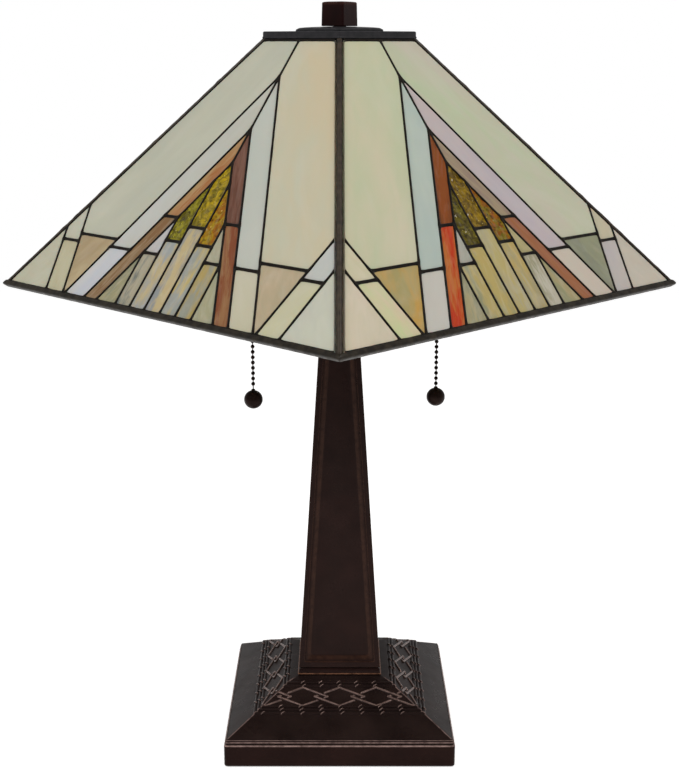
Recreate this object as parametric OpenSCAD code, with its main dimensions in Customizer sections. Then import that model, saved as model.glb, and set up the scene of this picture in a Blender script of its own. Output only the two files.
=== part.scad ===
// Two-light table lamp with a square leaded-glass shade on a square tapered column.
// Millimetres. The origin is the centre of the base's underside, +Z up, -Y the front.
// The base and the column stand face on to the front; the shade is turned so that a corner is.

/* [Base] */
// Side of the square foot
base_w = 172; // [150:1:200]
// Height of the foot's upright side
foot_h = 17.5; // [14:0.5:20]
// Height of the flat top that the column stands on
base_top_z = 48.5; // [44:0.5:54]
// Wall thickness of the base casting
base_wall = 3.4; // [3:0.2:6]
// Thickness of the felt pad
felt_t = 3; // [2:0.5:4]

/* [Column] */
// Width of the column where it meets the base
column_foot_w = 63.2; // [56:0.2:70]
// Width of the column at its top
column_top_w = 27.6; // [26:0.2:34]
// Height of the column's top above the table
column_top_z = 330; // [290:1:335]
// Width of the flat frame around each recessed panel
frame_w = 4; // [3:0.5:5]
// Depth of the recessed panels
recess_d = 2.4; // [1.5:0.1:3]
// Wall thickness of the column behind the recessed panels
column_wall = 3; // [2.5:0.1:4]

/* [Shade] */
// Side of the shade's lower edge, measured between the glass mid-planes
shade_w = 350; // [320:1:380]
// Side of the shade's top, measured between the glass mid-planes
shade_top_w = 72; // [66:1:84]
// Height of the shade's lower edge above the table
shade_z = 350; // [346:1:380]
// Height of the shade from its lower edge to its crown
shade_h = 178; // [160:1:200]
// Thickness of the glass
glass_t = 2.6; // [2:0.2:3.2]
// Width of a lead line between two pieces of glass
lead_w = 2.4; // [2:0.2:3.2]
// Thickness of the leading, front to back
lead_t = 4.4; // [4:0.2:5.2]
// Radius of the corner ribs
rib_r = 2.6; // [2.2:0.1:3]

/* [Glass pattern] */
// Height up the face of the outer mitre's point
mitre_1 = 191.5; // [180:0.5:200]
// Height up the face of the middle mitre's point
mitre_2 = 147.8; // [140:0.2:155]
// Height up the face of the inner mitre's point
mitre_3 = 120.2; // [112:0.2:126]
// Sideways run of the mitre lines for each unit down the face
mitre_run = 0.53; // [0.5:0.01:0.56]
// Half width of the centre slat
slat_1 = 8.4; // [7:0.1:10]
// Distance of the second slat line from the centre line
slat_2 = 24.3; // [22:0.1:26]
// Height of the bar under the large panels
panel_bar = 50.5; // [48:0.5:54]
// Height of the bar across the strips and the outer slats
strip_bar = 44.2; // [41:0.2:46]
// Height of the bar across the inner strips
rib_bar = 74; // [70:0.5:78]
// Height of the bar under the centre textured piece
gold_bar_1 = 68.3; // [66:0.1:70]
// Height of the bar under the side textured pieces
gold_bar_2 = 55.9; // [53:0.1:58]
// Distance of the corner strip's outer foot from the centre line
corner_foot = 122.4; // [120:0.2:126]

/* [Lights] */
// Distance of each socket from the lamp's axis
socket_x = 51; // [47:1:53]
// Diameter of the bulbs
bulb_d = 52; // [40:1:56]
// Turn of the left pull switch towards the front, degrees
left_switch_turn = 53; // [0:1:80]
// Distance of a pull chain from its socket's axis
chain_reach = 22; // [22:0.5:26]
// Height of the middle of the left pull ball
ball_z_left = 266; // [250:0.5:290]
// Height of the middle of the right pull ball
ball_z_right = 263.5; // [250:0.5:290]
// Diameter of the pull balls
ball_d = 14; // [10:0.5:16]

/* [Finial] */
// Width of the finial block at its foot
finial_w = 19; // [17:0.5:22]
// Turn of the finial block about the lamp's axis, degrees
finial_turn = 56; // [0:1:89]

/* [Hidden] */
$fn = 64;
over = 1;             // how far a cutter runs past what it cuts
fit = 0.05;           // radial clearance of fits that do not move
faces = [0, 1, 2, 3]; // the shade's faces, counted clockwise from the front left

// Base profile: half side against height.
foot_half = base_w / 2;
felt_gap = 0.8;
felt_half = foot_half - 3;
groove_z = foot_h + 1.3;
lip_z = foot_h + 4.3;
slope_half = foot_half - 2.5;
slope_z = lip_z + 0.4;
slope_top_half = 38;
slope_top_z = base_top_z - 1;
plinth_half = column_foot_w / 2 + 0.6;
slope_tilt = atan2(slope_top_z - slope_z, slope_half - slope_top_half);
outer_ridges = [64, 61.3, 58.8];
inner_ridges = [42.6, 40];
ridge_t = 1.2;
lip_step = 0.6;       // small offsets of the moulding above the foot
cavity_half = foot_half - base_wall - 1;
cavity_shoulder_z = foot_h + 0.5;
cavity_roof_half = 38;

// Chain of interlaced diamonds that runs round the slope between the ridges.
band_low_half = 58;
band_high_half = 44;
band_mid_half = (band_low_half + band_high_half) / 2;
diamond_pitch = 28;
diamond_crossings = 4;
diamond_line_w = 1.4;
diamond_line_rise = 0.8;

// Rear cord inlet.
inlet_z = 10.5;
inlet_r = 3.5;
bush_r = 5.5;
bush_l = 8;
bush_flange_r = 8;
bush_flange_t = 2;

// Threaded pipe, nut and washer that clamp the base, column and cluster together.
pipe_r = 4.85;
pipe_bore_r = 3.2;
pipe_foot_z = 30;
pipe_gap = 0.35;      // radial gap round the pipe where it passes the base
cavity_top_z = slope_top_z - base_wall / cos(slope_tilt);
washer_t = 1.5;
washer_r = 14;
nut_h = 4;
nut_across_flats = 17;

// Column.
column_head_t = 8;
plinth_h = 5.4;
plinth_bead_h = 1.8;
plinth_lean = 1.2;
reveal_h = 1.2;       // sunk line between the plinth and the column
reveal_d = 1.6;
recess_foot_z = 59.5;
recess_head_gap = 9;
bevel_w = 4.6;
cap_h = 6;
cap_half = column_top_w / 2 + 3;
cap_step = 1.5;       // chamfer under the capital
cap_bevel = 3;        // slope from the capital's side to its top
cap_bevel_h = 2;
neck_h = 2;
neck_r = 12;

// Cluster that carries the two sockets.
cluster_z = column_top_z + cap_h + neck_h;
cluster_h = 22;
cluster_r = 16;
cluster_wall = 3;
cluster_foot_bevel = 3;
cluster_side_h = 15;
cluster_shoulder_r = 11;
cluster_shoulder_h = 18;
cluster_top_r = 7.5;
chamber_h = 12;       // wiring chamber inside the cluster
thread_h = 12;        // depth of the riser's threaded hole in the cluster's top
arm_root = 13;        // the arms start this far out, inside the cluster's wall
wireway_root = 11;
arm_z = cluster_z + 9;
arm_r = 5;
arm_bore_r = 2.6;
arm_top_z = arm_z + 6;
pipe_top_z = cluster_z + cluster_wall + 3;

// Sockets, bulbs and pull chains.
cap_r = 17.5;
socket_cap_h = 12;
cap_foot_r = 8;
cap_bowl_r = 12;
cap_bowl_h = 2;       // heights up the socket cap, from its foot
cap_floor_h = 5;
cap_side_h = 8;
shell_r = 16.6;
shell_t = 0.8;
shell_h = 34;
shell_z = arm_top_z + socket_cap_h;
screw_bore_r = 13.3;
core_r = shell_r - shell_t - fit;
core_h = shell_h - 1;
core_floor_t = 14;
bulb_r = bulb_d / 2;
bulb_wall = 1;
bulb_base_r = 12.7;
bulb_tip_r = 5;
bulb_tip_h = 4;
bulb_neck_r = 12;
bulb_foot_z = shell_z + core_floor_t + 1.5;
bulb_base_h = 18;
bulb_centre_z = bulb_foot_z + bulb_base_h + bulb_r + 4;
bell_z = shell_z + 3;
bell_r = 4.2;
bell_bore_r = 2.5;
bell_mouth_r = 5.2;
bell_drop = 7;
mouth_z = bell_z - bell_drop;
bead_r = 1.5;
bead_pitch = 4.05;
link_r = 0.45;
swing_gap = 0.2;      // half the gap in the link at the chain's swing axis
ball_collar_h = 1;
ball_collar_r = 1.5;

// Shade geometry. Face coordinates: x along the lower edge, y up the slope, z outwards.
shade_half = shade_w / 2;
shade_top_half = shade_top_w / 2;
shade_run = shade_half - shade_top_half;
slope_l = sqrt(shade_run * shade_run + shade_h * shade_h);
face_tilt = atan2(shade_h, shade_run);
edge_run = shade_run / slope_l;
corner_tilt = atan2(shade_run * sqrt(2), shade_h);
corner_l = sqrt(2 * shade_run * shade_run + shade_h * shade_h);
heart_w = 1;          // web of the leading between two glass edges
slab_inset = 1.8;     // gap from the corner line to a face's leading
slab_foot = 1;
slab_head = slope_l - 1.9;
pane_inset = 2.2;     // gap from the corner line to the outermost lead line's middle
pane_foot = 2.4;
pane_head = slope_l - 3.4;
rim_foot = -1.2;
rim_head = 3.2;
rim_t = 5.8;
rib_end = 2;          // the corner ribs stop this far short of the corner line's ends
crown_foot = slope_l - 2.6;
crown_head = slope_l + 2;
crown_z = shade_z + shade_h;
crown_half = shade_top_half + 3;
crown_bar_t = 5;
crown_t = 4;
crown_hole_r = 17;
vase_cap_half = 23.5;
vase_cap_t = 2.6;
vase_cap_rise = 0.7;
vase_cap_edge = 1.2;
cap_chamfer = 3;
corner_run = 0.34;
corner_run_outer = 0.31;

// The bulb's neck meets its globe this far down and out, as shares of the globe's radius.
bulb_shoulder_drop = 0.8;
bulb_shoulder_r = 0.6;

// Riser, shade rest and finial.
riser_r = 4.85;
riser_foot_z = cluster_z + 12;
stud_r = 3.15;
stud_bore_r = 3.2;
cap_hole_r = 3.9;
rest_r = 13;
rest_h = 3;
plate_z = crown_z + crown_t;
rest_z = plate_z - 0.2;
finial_gap = 0.3;     // the finial turns clear of the vase cap
finial_z = plate_z + vase_cap_t + vase_cap_rise + finial_gap;
finial_h = 16.9;
finial_draft = 0.35;
finial_edge = 0.8;
insert_r = 4.6;
insert_h = 11;
stud_in_finial = 9;
stud_top_z = finial_z + stud_in_finial;

GLASS_KINDS = ["pale", "rib", "gold", "slat", "corner"];

// ---------- helpers ----------

// A square-plan solid whose half side follows the outline given as [half side, height] points.
module square_turned(outline) {
    mirrored = [for (i = [len(outline) - 1 : -1 : 0]) [-outline[i][0], outline[i][1]]];
    side = concat(outline, mirrored);
    reach = 2 * max([for (p = outline) p[0]]) + 2 * over;
    intersection() {
        rotate([90, 0, 0]) linear_extrude(reach, center = true) polygon(side);
        rotate([90, 0, 90]) linear_extrude(reach, center = true) polygon(side);
    }
}

// A tube standing on z.
module tube(r, bore, z, h) {
    translate([0, 0, z]) difference() {
        cylinder(r = r, h = h);
        translate([0, 0, -over]) cylinder(r = bore, h = h + 2 * over);
    }
}

// Puts a child drawn in face coordinates on one face of the shade.
module on_face(k) {
    rotate([0, 0, -45 - 90 * k]) translate([0, -shade_half, shade_z]) rotate([face_tilt, 0, 0]) children();
}

// A slab in face coordinates, centred on the glass mid-plane.
module face_slab(points, t) {
    linear_extrude(t, center = true) polygon(points);
}

function unit(v) = v / norm(v);
function left_of(v) = [-v[1], v[0]];
function cross2(a, b) = a[0] * b[1] - a[1] * b[0];
function meet(p, d, q, e) = p + d * cross2(q - p, e) / cross2(d, e);

// A convex polygon, counter-clockwise, with every side moved inwards by d.
function inset(p, d) = [
    for (i = [0 : len(p) - 1])
        let (
            a = p[(i + len(p) - 1) % len(p)],
            b = p[i],
            c = p[(i + 1) % len(p)],
            e = unit(b - a),
            f = unit(c - b)
        )
        meet(b + d * left_of(e), e, b + d * left_of(f), f)
];

function flip(p) = [for (i = [len(p) - 1 : -1 : 0]) [-p[i][0], p[i][1]]];
function both(pieces) = concat(pieces, [for (p = pieces) flip(p)]);

// ---------- glass pattern, in face coordinates ----------

function edge(v) = shade_half - edge_run * v - pane_inset / cos(atan(edge_run));
function mitre(point, v) = mitre_run * (point - v);
function mitre_height(point, u) = point - u / mitre_run;
corner_line_foot = mitre(mitre_1, 0);
function corner_line(v) = corner_line_foot + corner_run * v;
function outer_line(v) = corner_foot + corner_run_outer * v;
corner_line_head = (edge(0) - corner_line_foot) / (edge_run + corner_run);
outer_line_head = (edge(0) - corner_foot) / (edge_run + corner_run_outer);
slat_3 = mitre(mitre_3, strip_bar);

function strip(outer, inner, bar) = [
    [[0, inner], [mitre(inner, bar), bar], [mitre(outer, bar), bar], [0, outer]],
    [[mitre(inner, pane_foot), pane_foot], [mitre(outer, pane_foot), pane_foot],
        [mitre(outer, bar), bar], [mitre(inner, bar), bar]]
];

large_panel = [
    [0, mitre_1], [mitre(mitre_1, panel_bar), panel_bar], [corner_line(panel_bar), panel_bar],
    [edge(corner_line_head), corner_line_head], [edge(pane_head), pane_head], [0, pane_head]
];
centre_gold = [
    [-slat_1, gold_bar_1], [slat_1, gold_bar_1], [slat_1, mitre_height(mitre_3, slat_1)],
    [0, mitre_3], [-slat_1, mitre_height(mitre_3, slat_1)]
];
side_gold = [
    [slat_1, gold_bar_2], [slat_2, gold_bar_2], [slat_2, mitre_height(mitre_3, slat_2)],
    [slat_1, mitre_height(mitre_3, slat_1)]
];
small_triangle = [[slat_2, strip_bar], [slat_3, strip_bar], [slat_2, mitre_height(mitre_3, slat_2)]];
end_triangle = [[slat_3, pane_foot], [mitre(mitre_3, pane_foot), pane_foot], [slat_3, strip_bar]];
hanging_triangle = [
    [mitre(mitre_1, panel_bar), panel_bar], [corner_line_foot, 0], [corner_line(panel_bar), panel_bar]
];
corner_strip_low = [
    [corner_line(pane_foot), pane_foot], [outer_line(pane_foot), pane_foot],
    [outer_line(strip_bar), strip_bar], [corner_line(strip_bar), strip_bar]
];
corner_strip_high = [
    [corner_line(strip_bar), strip_bar], [outer_line(strip_bar), strip_bar],
    [edge(outer_line_head), outer_line_head], [edge(corner_line_head), corner_line_head]
];
corner_triangle = [
    [outer_line(pane_foot), pane_foot], [edge(pane_foot), pane_foot], [edge(outer_line_head), outer_line_head]
];

function slat(from, to, top) = [[from, pane_foot], [to, pane_foot], [to, top], [from, top]];

function pieces(kind) =
    kind == "pale" ? both(concat([large_panel], strip(mitre_1, mitre_2, strip_bar))) :
    kind == "rib" ? both(strip(mitre_2, mitre_3, rib_bar)) :
    kind == "gold" ? concat([centre_gold], both([side_gold])) :
    kind == "slat" ? concat([slat(-slat_1, slat_1, gold_bar_1)], both([
        slat(slat_1, slat_2, gold_bar_2), slat(slat_2, slat_3, strip_bar), small_triangle, end_triangle
    ])) :
    both([hanging_triangle, corner_strip_low, corner_strip_high, corner_triangle]);

face_outline = let (side = slab_inset / cos(atan(edge_run))) [
    [-shade_half + edge_run * slab_foot + side, slab_foot],
    [shade_half - edge_run * slab_foot - side, slab_foot],
    [shade_half - edge_run * slab_head - side, slab_head],
    [-shade_half + edge_run * slab_head + side, slab_head]
];

// ---------- base and column ----------

module felt_pad() {
    color("darkolivegreen") translate([-felt_half, -felt_half, 0])
        cube([2 * felt_half, 2 * felt_half, felt_t]);
}

function slope_at(half) =
    slope_z + (slope_top_z - slope_z) * (slope_half - half) / (slope_half - slope_top_half);

// A thin raised ridge that runs round the slope.
function ridge(half) = [
    [half + ridge_t, slope_at(half + ridge_t)], [half + ridge_t / 2, slope_at(half) + ridge_t],
    [half - ridge_t / 2, slope_at(half - ridge_t) + ridge_t / 2], [half - ridge_t, slope_at(half - ridge_t)]
];

// Crossing lines of the diamond chain on one side of the base, cut off at the mitres.
module diamond_lines() {
    band_l = (band_low_half - band_high_half) / cos(slope_tilt);
    line_tilt = atan2(band_l, diamond_pitch);
    line_l = norm([band_l, diamond_pitch]);
    first = -(diamond_crossings - 1) / 2 * diamond_pitch;
    intersection() {
        for (i = [0 : diamond_crossings - 1], turn = [-line_tilt, line_tilt])
            translate([first + i * diamond_pitch, -band_mid_half, slope_at(band_mid_half)])
                rotate([slope_tilt, 0, 0]) rotate([0, 0, turn])
                    translate([-line_l / 2, -diamond_line_w / 2, -diamond_line_w])
                        cube([line_l, diamond_line_w, diamond_line_w + diamond_line_rise]);
        linear_extrude(base_top_z) polygon([[0, 0], [-foot_half, -foot_half], [foot_half, -foot_half]]);
    }
}

module base_shell() {
    color([0.17, 0.12, 0.1]) difference() {
        union() {
            square_turned(concat(
                [[foot_half, felt_gap], [foot_half, foot_h], [foot_half - 2 * lip_step, groove_z],
                    [foot_half - lip_step, groove_z + lip_step], [foot_half - 1, lip_z], [slope_half, slope_z]],
                [for (half = concat(outer_ridges, inner_ridges)) each ridge(half)],
                [[slope_top_half, slope_top_z], [plinth_half, base_top_z]]
            ));
            for (k = faces) rotate([0, 0, 90 * k]) diamond_lines();
        }
        square_turned([[cavity_half, -over], [cavity_half, cavity_shoulder_z], [cavity_roof_half, cavity_top_z]]);
        translate([-felt_half - fit, -felt_half - fit, -over])
            cube([2 * (felt_half + fit), 2 * (felt_half + fit), felt_t + over]);
        cylinder(r = pipe_r + pipe_gap, h = base_top_z + over);
        translate([0, cavity_half - over, inlet_z]) rotate([-90, 0, 0])
            cylinder(r = bush_r + fit, h = foot_half - cavity_half + 2 * over);
    }
}

module cord_bushing() {
    color("black") translate([0, foot_half, inlet_z]) rotate([-90, 0, 0]) difference() {
        union() {
            translate([0, 0, -bush_l]) cylinder(r = bush_r, h = bush_l);
            cylinder(r = bush_flange_r, h = bush_flange_t);
        }
        translate([0, 0, -bush_l - over]) cylinder(r = inlet_r, h = bush_l + bush_flange_t + 2 * over);
    }
}

function column_half(z) =
    column_foot_w / 2 + (column_top_w - column_foot_w) / 2 * (z - base_top_z) / (column_top_z - base_top_z);

// One side's recessed panel: a flat-bottomed pocket with a sloping border.
module recess() {
    tilt = atan2((column_foot_w - column_top_w) / 2, column_top_z - base_top_z);
    head_z = column_top_z - recess_head_gap;
    function pocket(gap) = [
        [-column_half(recess_foot_z) + gap, recess_foot_z + gap - frame_w],
        [column_half(recess_foot_z) - gap, recess_foot_z + gap - frame_w],
        [column_half(head_z) - gap, head_z - gap + frame_w],
        [-column_half(head_z) + gap, head_z - gap + frame_w]
    ];
    translate([0, -column_half(0), 0]) rotate([90 - tilt, 0, 0]) hull() {
        linear_extrude(0.01) polygon(pocket(frame_w));
        translate([0, 0, -recess_d]) linear_extrude(0.01) polygon(pocket(frame_w + bevel_w));
    }
}

module column() {
    skin = recess_d + column_wall;
    ceiling_z = column_top_z - column_head_t;
    plinth_z = base_top_z + plinth_h;
    rail_z = plinth_z + reveal_h;
    rail_half = column_half(rail_z);
    color([0.19, 0.13, 0.1]) difference() {
        square_turned([
            [plinth_half, base_top_z], [plinth_half, base_top_z + plinth_bead_h],
            [plinth_half - plinth_lean, plinth_z], [rail_half - reveal_d, plinth_z],
            [rail_half - reveal_d, rail_z], [rail_half, rail_z], [column_top_w / 2, column_top_z]
        ]);
        for (k = faces) rotate([0, 0, 90 * k]) recess();
        square_turned([
            [column_half(base_top_z) - skin, base_top_z - over],
            [column_half(ceiling_z) - skin, ceiling_z]
        ]);
        cylinder(r = pipe_r + fit, h = column_top_z + over);
    }
}

module column_cap() {
    color([0.2, 0.14, 0.1]) difference() {
        union() {
            square_turned([
                [cap_half - cap_step, column_top_z], [cap_half, column_top_z + cap_step],
                [cap_half, column_top_z + cap_h - cap_bevel_h], [cap_half - cap_bevel, column_top_z + cap_h]
            ]);
            translate([0, 0, column_top_z + cap_h - over]) cylinder(r = neck_r, h = neck_h + over);
        }
        translate([0, 0, column_top_z - over]) cylinder(r = pipe_r + fit, h = cap_h + neck_h + 2 * over);
    }
}

module centre_pipe() {
    color("goldenrod") tube(pipe_r, pipe_bore_r, pipe_foot_z, pipe_top_z - pipe_foot_z);
}

module pipe_washer() {
    color("silver") tube(washer_r, pipe_r + fit, cavity_top_z - washer_t, washer_t);
}

module pipe_nut() {
    nut_z = cavity_top_z - washer_t - nut_h;
    color("silver") difference() {
        translate([0, 0, nut_z]) cylinder(d = nut_across_flats / cos(30), h = nut_h, $fn = 6);
        translate([0, 0, nut_z - over]) cylinder(r = pipe_r + fit, h = nut_h + 2 * over);
    }
}

// ---------- cluster, sockets and bulbs ----------

module at_socket(side) {
    translate([side * socket_x, 0, 0]) children();
}

module arm(side, r, inner) {
    translate([side * inner, 0, arm_z]) rotate([0, side * 90, 0]) cylinder(r = r, h = socket_x - inner);
    translate([side * socket_x, 0, arm_z]) {
        sphere(r = r);
        cylinder(r = r, h = arm_top_z - arm_z + (r < arm_r ? over : 0));
    }
}

module cluster() {
    top_z = cluster_z + cluster_h;
    color("darkgoldenrod") difference() {
        union() {
            rotate_extrude() polygon([
                [0, cluster_z], [cluster_r - cluster_foot_bevel, cluster_z],
                [cluster_r, cluster_z + cluster_foot_bevel], [cluster_r, cluster_z + cluster_side_h],
                [cluster_shoulder_r, cluster_z + cluster_shoulder_h], [cluster_top_r, top_z], [0, top_z]
            ]);
            for (side = [-1, 1]) arm(side, arm_r, arm_root);
        }
        translate([0, 0, cluster_z + cluster_wall]) cylinder(r = cluster_r - cluster_wall, h = chamber_h);
        translate([0, 0, cluster_z - over]) cylinder(r = pipe_r + fit, h = cluster_wall + 2 * over);
        translate([0, 0, top_z - thread_h]) cylinder(r = riser_r + fit, h = cluster_h);
        for (side = [-1, 1]) arm(side, arm_bore_r, wireway_root);
    }
}

// Two insulated leads up the pipe, one along each arm to its socket.
module lead_wires() {
    wire_r = 0.9;
    wire_y = 1.2;
    tail_z = pipe_foot_z - 6;
    wire_top_z = arm_top_z + 3;
    color("black") for (side = [-1, 1]) translate([0, side * wire_y, 0]) {
        translate([0, 0, tail_z]) cylinder(r = wire_r, h = arm_z - tail_z);
        translate([0, 0, arm_z]) sphere(r = wire_r);
        translate([0, 0, arm_z]) rotate([0, side * 90, 0]) cylinder(r = wire_r, h = socket_x);
        translate([side * socket_x, 0, arm_z]) sphere(r = wire_r);
        translate([side * socket_x, 0, arm_z]) cylinder(r = wire_r, h = wire_top_z - arm_z);
    }
}

module socket_cap(side) {
    color("goldenrod") at_socket(side) rotate_extrude() polygon([
        [arm_bore_r, arm_top_z], [cap_foot_r, arm_top_z], [cap_bowl_r, arm_top_z + cap_bowl_h],
        [cap_r, arm_top_z + cap_side_h], [cap_r, shell_z], [shell_r - shell_t, shell_z],
        [arm_bore_r, arm_top_z + cap_floor_h]
    ]);
}

module socket_core(side) {
    color("saddlebrown") at_socket(side) translate([0, 0, shell_z]) difference() {
        cylinder(r = core_r, h = core_h);
        translate([0, 0, core_floor_t]) cylinder(r = screw_bore_r, h = shell_h);
    }
}

module socket_shell(side) {
    color("gold") at_socket(side) tube(shell_r, shell_r - shell_t, shell_z, shell_h);
}

function switch_azimuth(side) = side > 0 ? 0 : 180 + left_switch_turn;
function ball_z(side) = side > 0 ? ball_z_right : ball_z_left;

// Puts a child at the foot of a pull switch: x points away from the socket, z up.
module at_switch(side) {
    at_socket(side) rotate([0, 0, switch_azimuth(side)]) children();
}

module at_chain(side) {
    at_switch(side) translate([chain_reach, 0, 0]) children();
}

module chain_bell(side) {
    spout_r = 3;
    color("goldenrod") at_switch(side) difference() {
        union() {
            translate([shell_r - spout_r, 0, bell_z]) rotate([0, 90, 0])
                cylinder(r = spout_r, h = chain_reach - shell_r + spout_r);
            translate([chain_reach, 0, bell_z]) sphere(r = bell_r);
            translate([chain_reach, 0, mouth_z])
                cylinder(r1 = bell_mouth_r, r2 = bell_r, h = bell_drop);
        }
        translate([chain_reach, 0, mouth_z - over]) cylinder(r = bell_bore_r, h = bell_drop + 2 * over);
        translate([0, 0, bell_z - bell_drop]) cylinder(r = cap_r + fit, h = 2 * bell_drop);
    }
}

// Ball chain: beads from the top one downwards, on a link that runs from head_z down to foot_z.
module bead_chain(top_z, beads, head_z, foot_z) {
    for (i = [0 : beads - 1]) translate([0, 0, top_z - i * bead_pitch]) sphere(r = bead_r, $fn = 32);
    translate([0, 0, foot_z]) cylinder(r = link_r, h = head_z - foot_z);
}

// The two beads inside the bell, which slide with the switch. The hanging chain swings under them.
module switch_chain(side) {
    top_z = mouth_z + bead_pitch / 2 + bead_pitch;
    color("darkgoldenrod") at_chain(side) bead_chain(top_z, 2, top_z, mouth_z + swing_gap);
}

module pull_chain(side) {
    top_z = mouth_z - bead_pitch / 2;
    foot_z = ball_z(side) + ball_d / 2 + ball_collar_h;
    beads = floor((top_z - foot_z - bead_r) / bead_pitch) + 1;
    color("darkgoldenrod") at_chain(side) bead_chain(top_z, beads, mouth_z - swing_gap, foot_z);
}

module pull_ball(side) {
    color([0.2, 0.15, 0.12]) at_chain(side) translate([0, 0, ball_z(side)]) {
        sphere(d = ball_d);
        cylinder(r = ball_collar_r, h = ball_d / 2 + ball_collar_h);
    }
}

// A bulb's form, drawn thinner by the given skin to make its hollow inside.
module bulb_form(skin) {
    neck_z = bulb_foot_z + bulb_base_h;
    shoulder_z = bulb_centre_z - bulb_r * bulb_shoulder_drop;
    translate([0, 0, bulb_centre_z]) sphere(r = bulb_r - skin);
    translate([0, 0, neck_z - skin])
        cylinder(r1 = bulb_neck_r - skin, r2 = bulb_r * bulb_shoulder_r - skin, h = shoulder_z - neck_z + skin);
}

module bulb(side) {
    color("whitesmoke") at_socket(side) difference() {
        bulb_form(0);
        bulb_form(bulb_wall);
    }
}

module bulb_base(side) {
    color("silver") at_socket(side) translate([0, 0, bulb_foot_z]) {
        cylinder(r1 = bulb_tip_r, r2 = bulb_base_r, h = bulb_tip_h);
        translate([0, 0, bulb_tip_h]) cylinder(r = bulb_base_r, h = bulb_base_h - bulb_tip_h);
    }
}

// ---------- riser, crown and finial ----------

module riser_rod() {
    color("goldenrod") translate([0, 0, riser_foot_z]) {
        cylinder(r = riser_r, h = rest_z - riser_foot_z - rest_h);
        cylinder(r = stud_r, h = stud_top_z - riser_foot_z);
    }
}

module shade_rest() {
    color("goldenrod") tube(rest_r, stud_r + fit, rest_z - rest_h, rest_h);
}

module vase_cap() {
    chamfered = [
        for (k = faces, s = [-1, 1])
            let (a = 90 * k, x = vase_cap_half, y = s * (vase_cap_half - cap_chamfer))
            [x * cos(a) - y * sin(a), x * sin(a) + y * cos(a)]
    ];
    top_z = plate_z + vase_cap_t;
    color([0.3, 0.24, 0.2]) rotate([0, 0, 45]) difference() {
        intersection() {
            translate([0, 0, plate_z]) linear_extrude(vase_cap_t + 2 * vase_cap_rise) polygon(chamfered);
            square_turned([
                [vase_cap_half, plate_z], [vase_cap_half, top_z - vase_cap_edge],
                [vase_cap_half - vase_cap_edge, top_z],
                [finial_w / 2, top_z + vase_cap_rise]
            ]);
        }
        translate([0, 0, plate_z - over]) cylinder(r = cap_hole_r, h = vase_cap_t + 4 * over);
    }
}

module finial() {
    half = finial_w / 2;
    top_z = finial_z + finial_h;
    color([0.35, 0.2, 0.13]) rotate([0, 0, finial_turn]) difference() {
        square_turned([
            [half, finial_z], [half - finial_draft, top_z - finial_edge],
            [half - finial_draft - finial_edge, top_z]
        ]);
        translate([0, 0, finial_z - over]) cylinder(r = insert_r + fit, h = insert_h + over);
    }
}

module finial_insert() {
    color("gold") translate([0, 0, finial_z]) difference() {
        cylinder(r = insert_r, h = insert_h);
        translate([0, 0, -over]) cylinder(r = stud_bore_r, h = insert_h - 1 + over);
    }
}

// ---------- shade ----------

// A bar along one face's edge, in face coordinates, from one height up the face to another.
module edge_bar(from, to, t) {
    reach = shade_half + 20;
    translate([-reach, from, -t / 2]) cube([2 * reach, to - from, t]);
}

// The quarter of space that one face looks out on, so that bars meet in mitres.
module quarter(k) {
    reach = shade_w;
    rotate([0, 0, -45 - 90 * k]) translate([0, 0, shade_z - 50])
        linear_extrude(shade_h + 100) polygon([[0, 0], [-reach, -reach], [reach, -reach]]);
}

module all_slabs() {
    for (k = faces) on_face(k) face_slab(face_outline, lead_t);
}

module shade_rim() {
    color([0.25, 0.2, 0.17]) for (k = faces) difference() {
        intersection() {
            on_face(k) edge_bar(rim_foot, rim_head, rim_t);
            quarter(k);
        }
        on_face(k) face_slab(face_outline, lead_t);
    }
}

module crown() {
    color([0.25, 0.2, 0.17]) difference() {
        union() {
            intersection() {
                union() for (k = faces) intersection() {
                    on_face(k) edge_bar(crown_foot, crown_head, crown_bar_t);
                    quarter(k);
                }
                translate([-shade_half, -shade_half, shade_z]) cube([shade_w, shade_w, shade_h + 0.5]);
            }
            rotate([0, 0, 45]) translate([-crown_half, -crown_half, crown_z])
                cube([2 * crown_half, 2 * crown_half, crown_t]);
        }
        all_slabs();
        translate([0, 0, shade_z]) cylinder(r = crown_hole_r, h = shade_h + 2 * crown_t);
    }
}

module corner_rib(k) {
    difference() {
        rotate([0, 0, -90 * k]) translate([-shade_half * sqrt(2), 0, shade_z]) rotate([0, corner_tilt, 0])
            translate([0, 0, rib_end]) cylinder(r = rib_r, h = corner_l - 2 * rib_end);
        for (f = [k, k + 1]) on_face(f) {
            face_slab(face_outline, lead_t);
            edge_bar(rim_foot, rim_head, rim_t);
            edge_bar(crown_foot, crown_head, crown_bar_t);
        }
    }
}

module corner_ribs() {
    color([0.28, 0.23, 0.19]) for (k = faces) corner_rib(k);
}

// The leading of one face: H-section strips with a window for every piece of glass.
module leading(k) {
    panes = [for (kind = GLASS_KINDS) each pieces(kind)];
    color([0.2, 0.16, 0.14]) on_face(k) difference() {
        face_slab(face_outline, lead_t);
        for (p = panes) {
            face_slab(inset(p, lead_w / 2), lead_t + over);
            face_slab(inset(p, heart_w / 2), glass_t);
        }
    }
}

module glass(kind, k) {
    tint = [
        [0.74, 0.74, 0.64, 0.9], [0.45, 0.24, 0.14, 0.9], [0.6, 0.52, 0.12, 0.9],
        [0.66, 0.6, 0.42, 0.9], [0.7, 0.66, 0.5, 0.9]
    ][search([kind], GLASS_KINDS)[0]];
    color(tint) on_face(k) for (p = pieces(kind)) face_slab(inset(p, heart_w / 2), glass_t);
}

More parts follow.
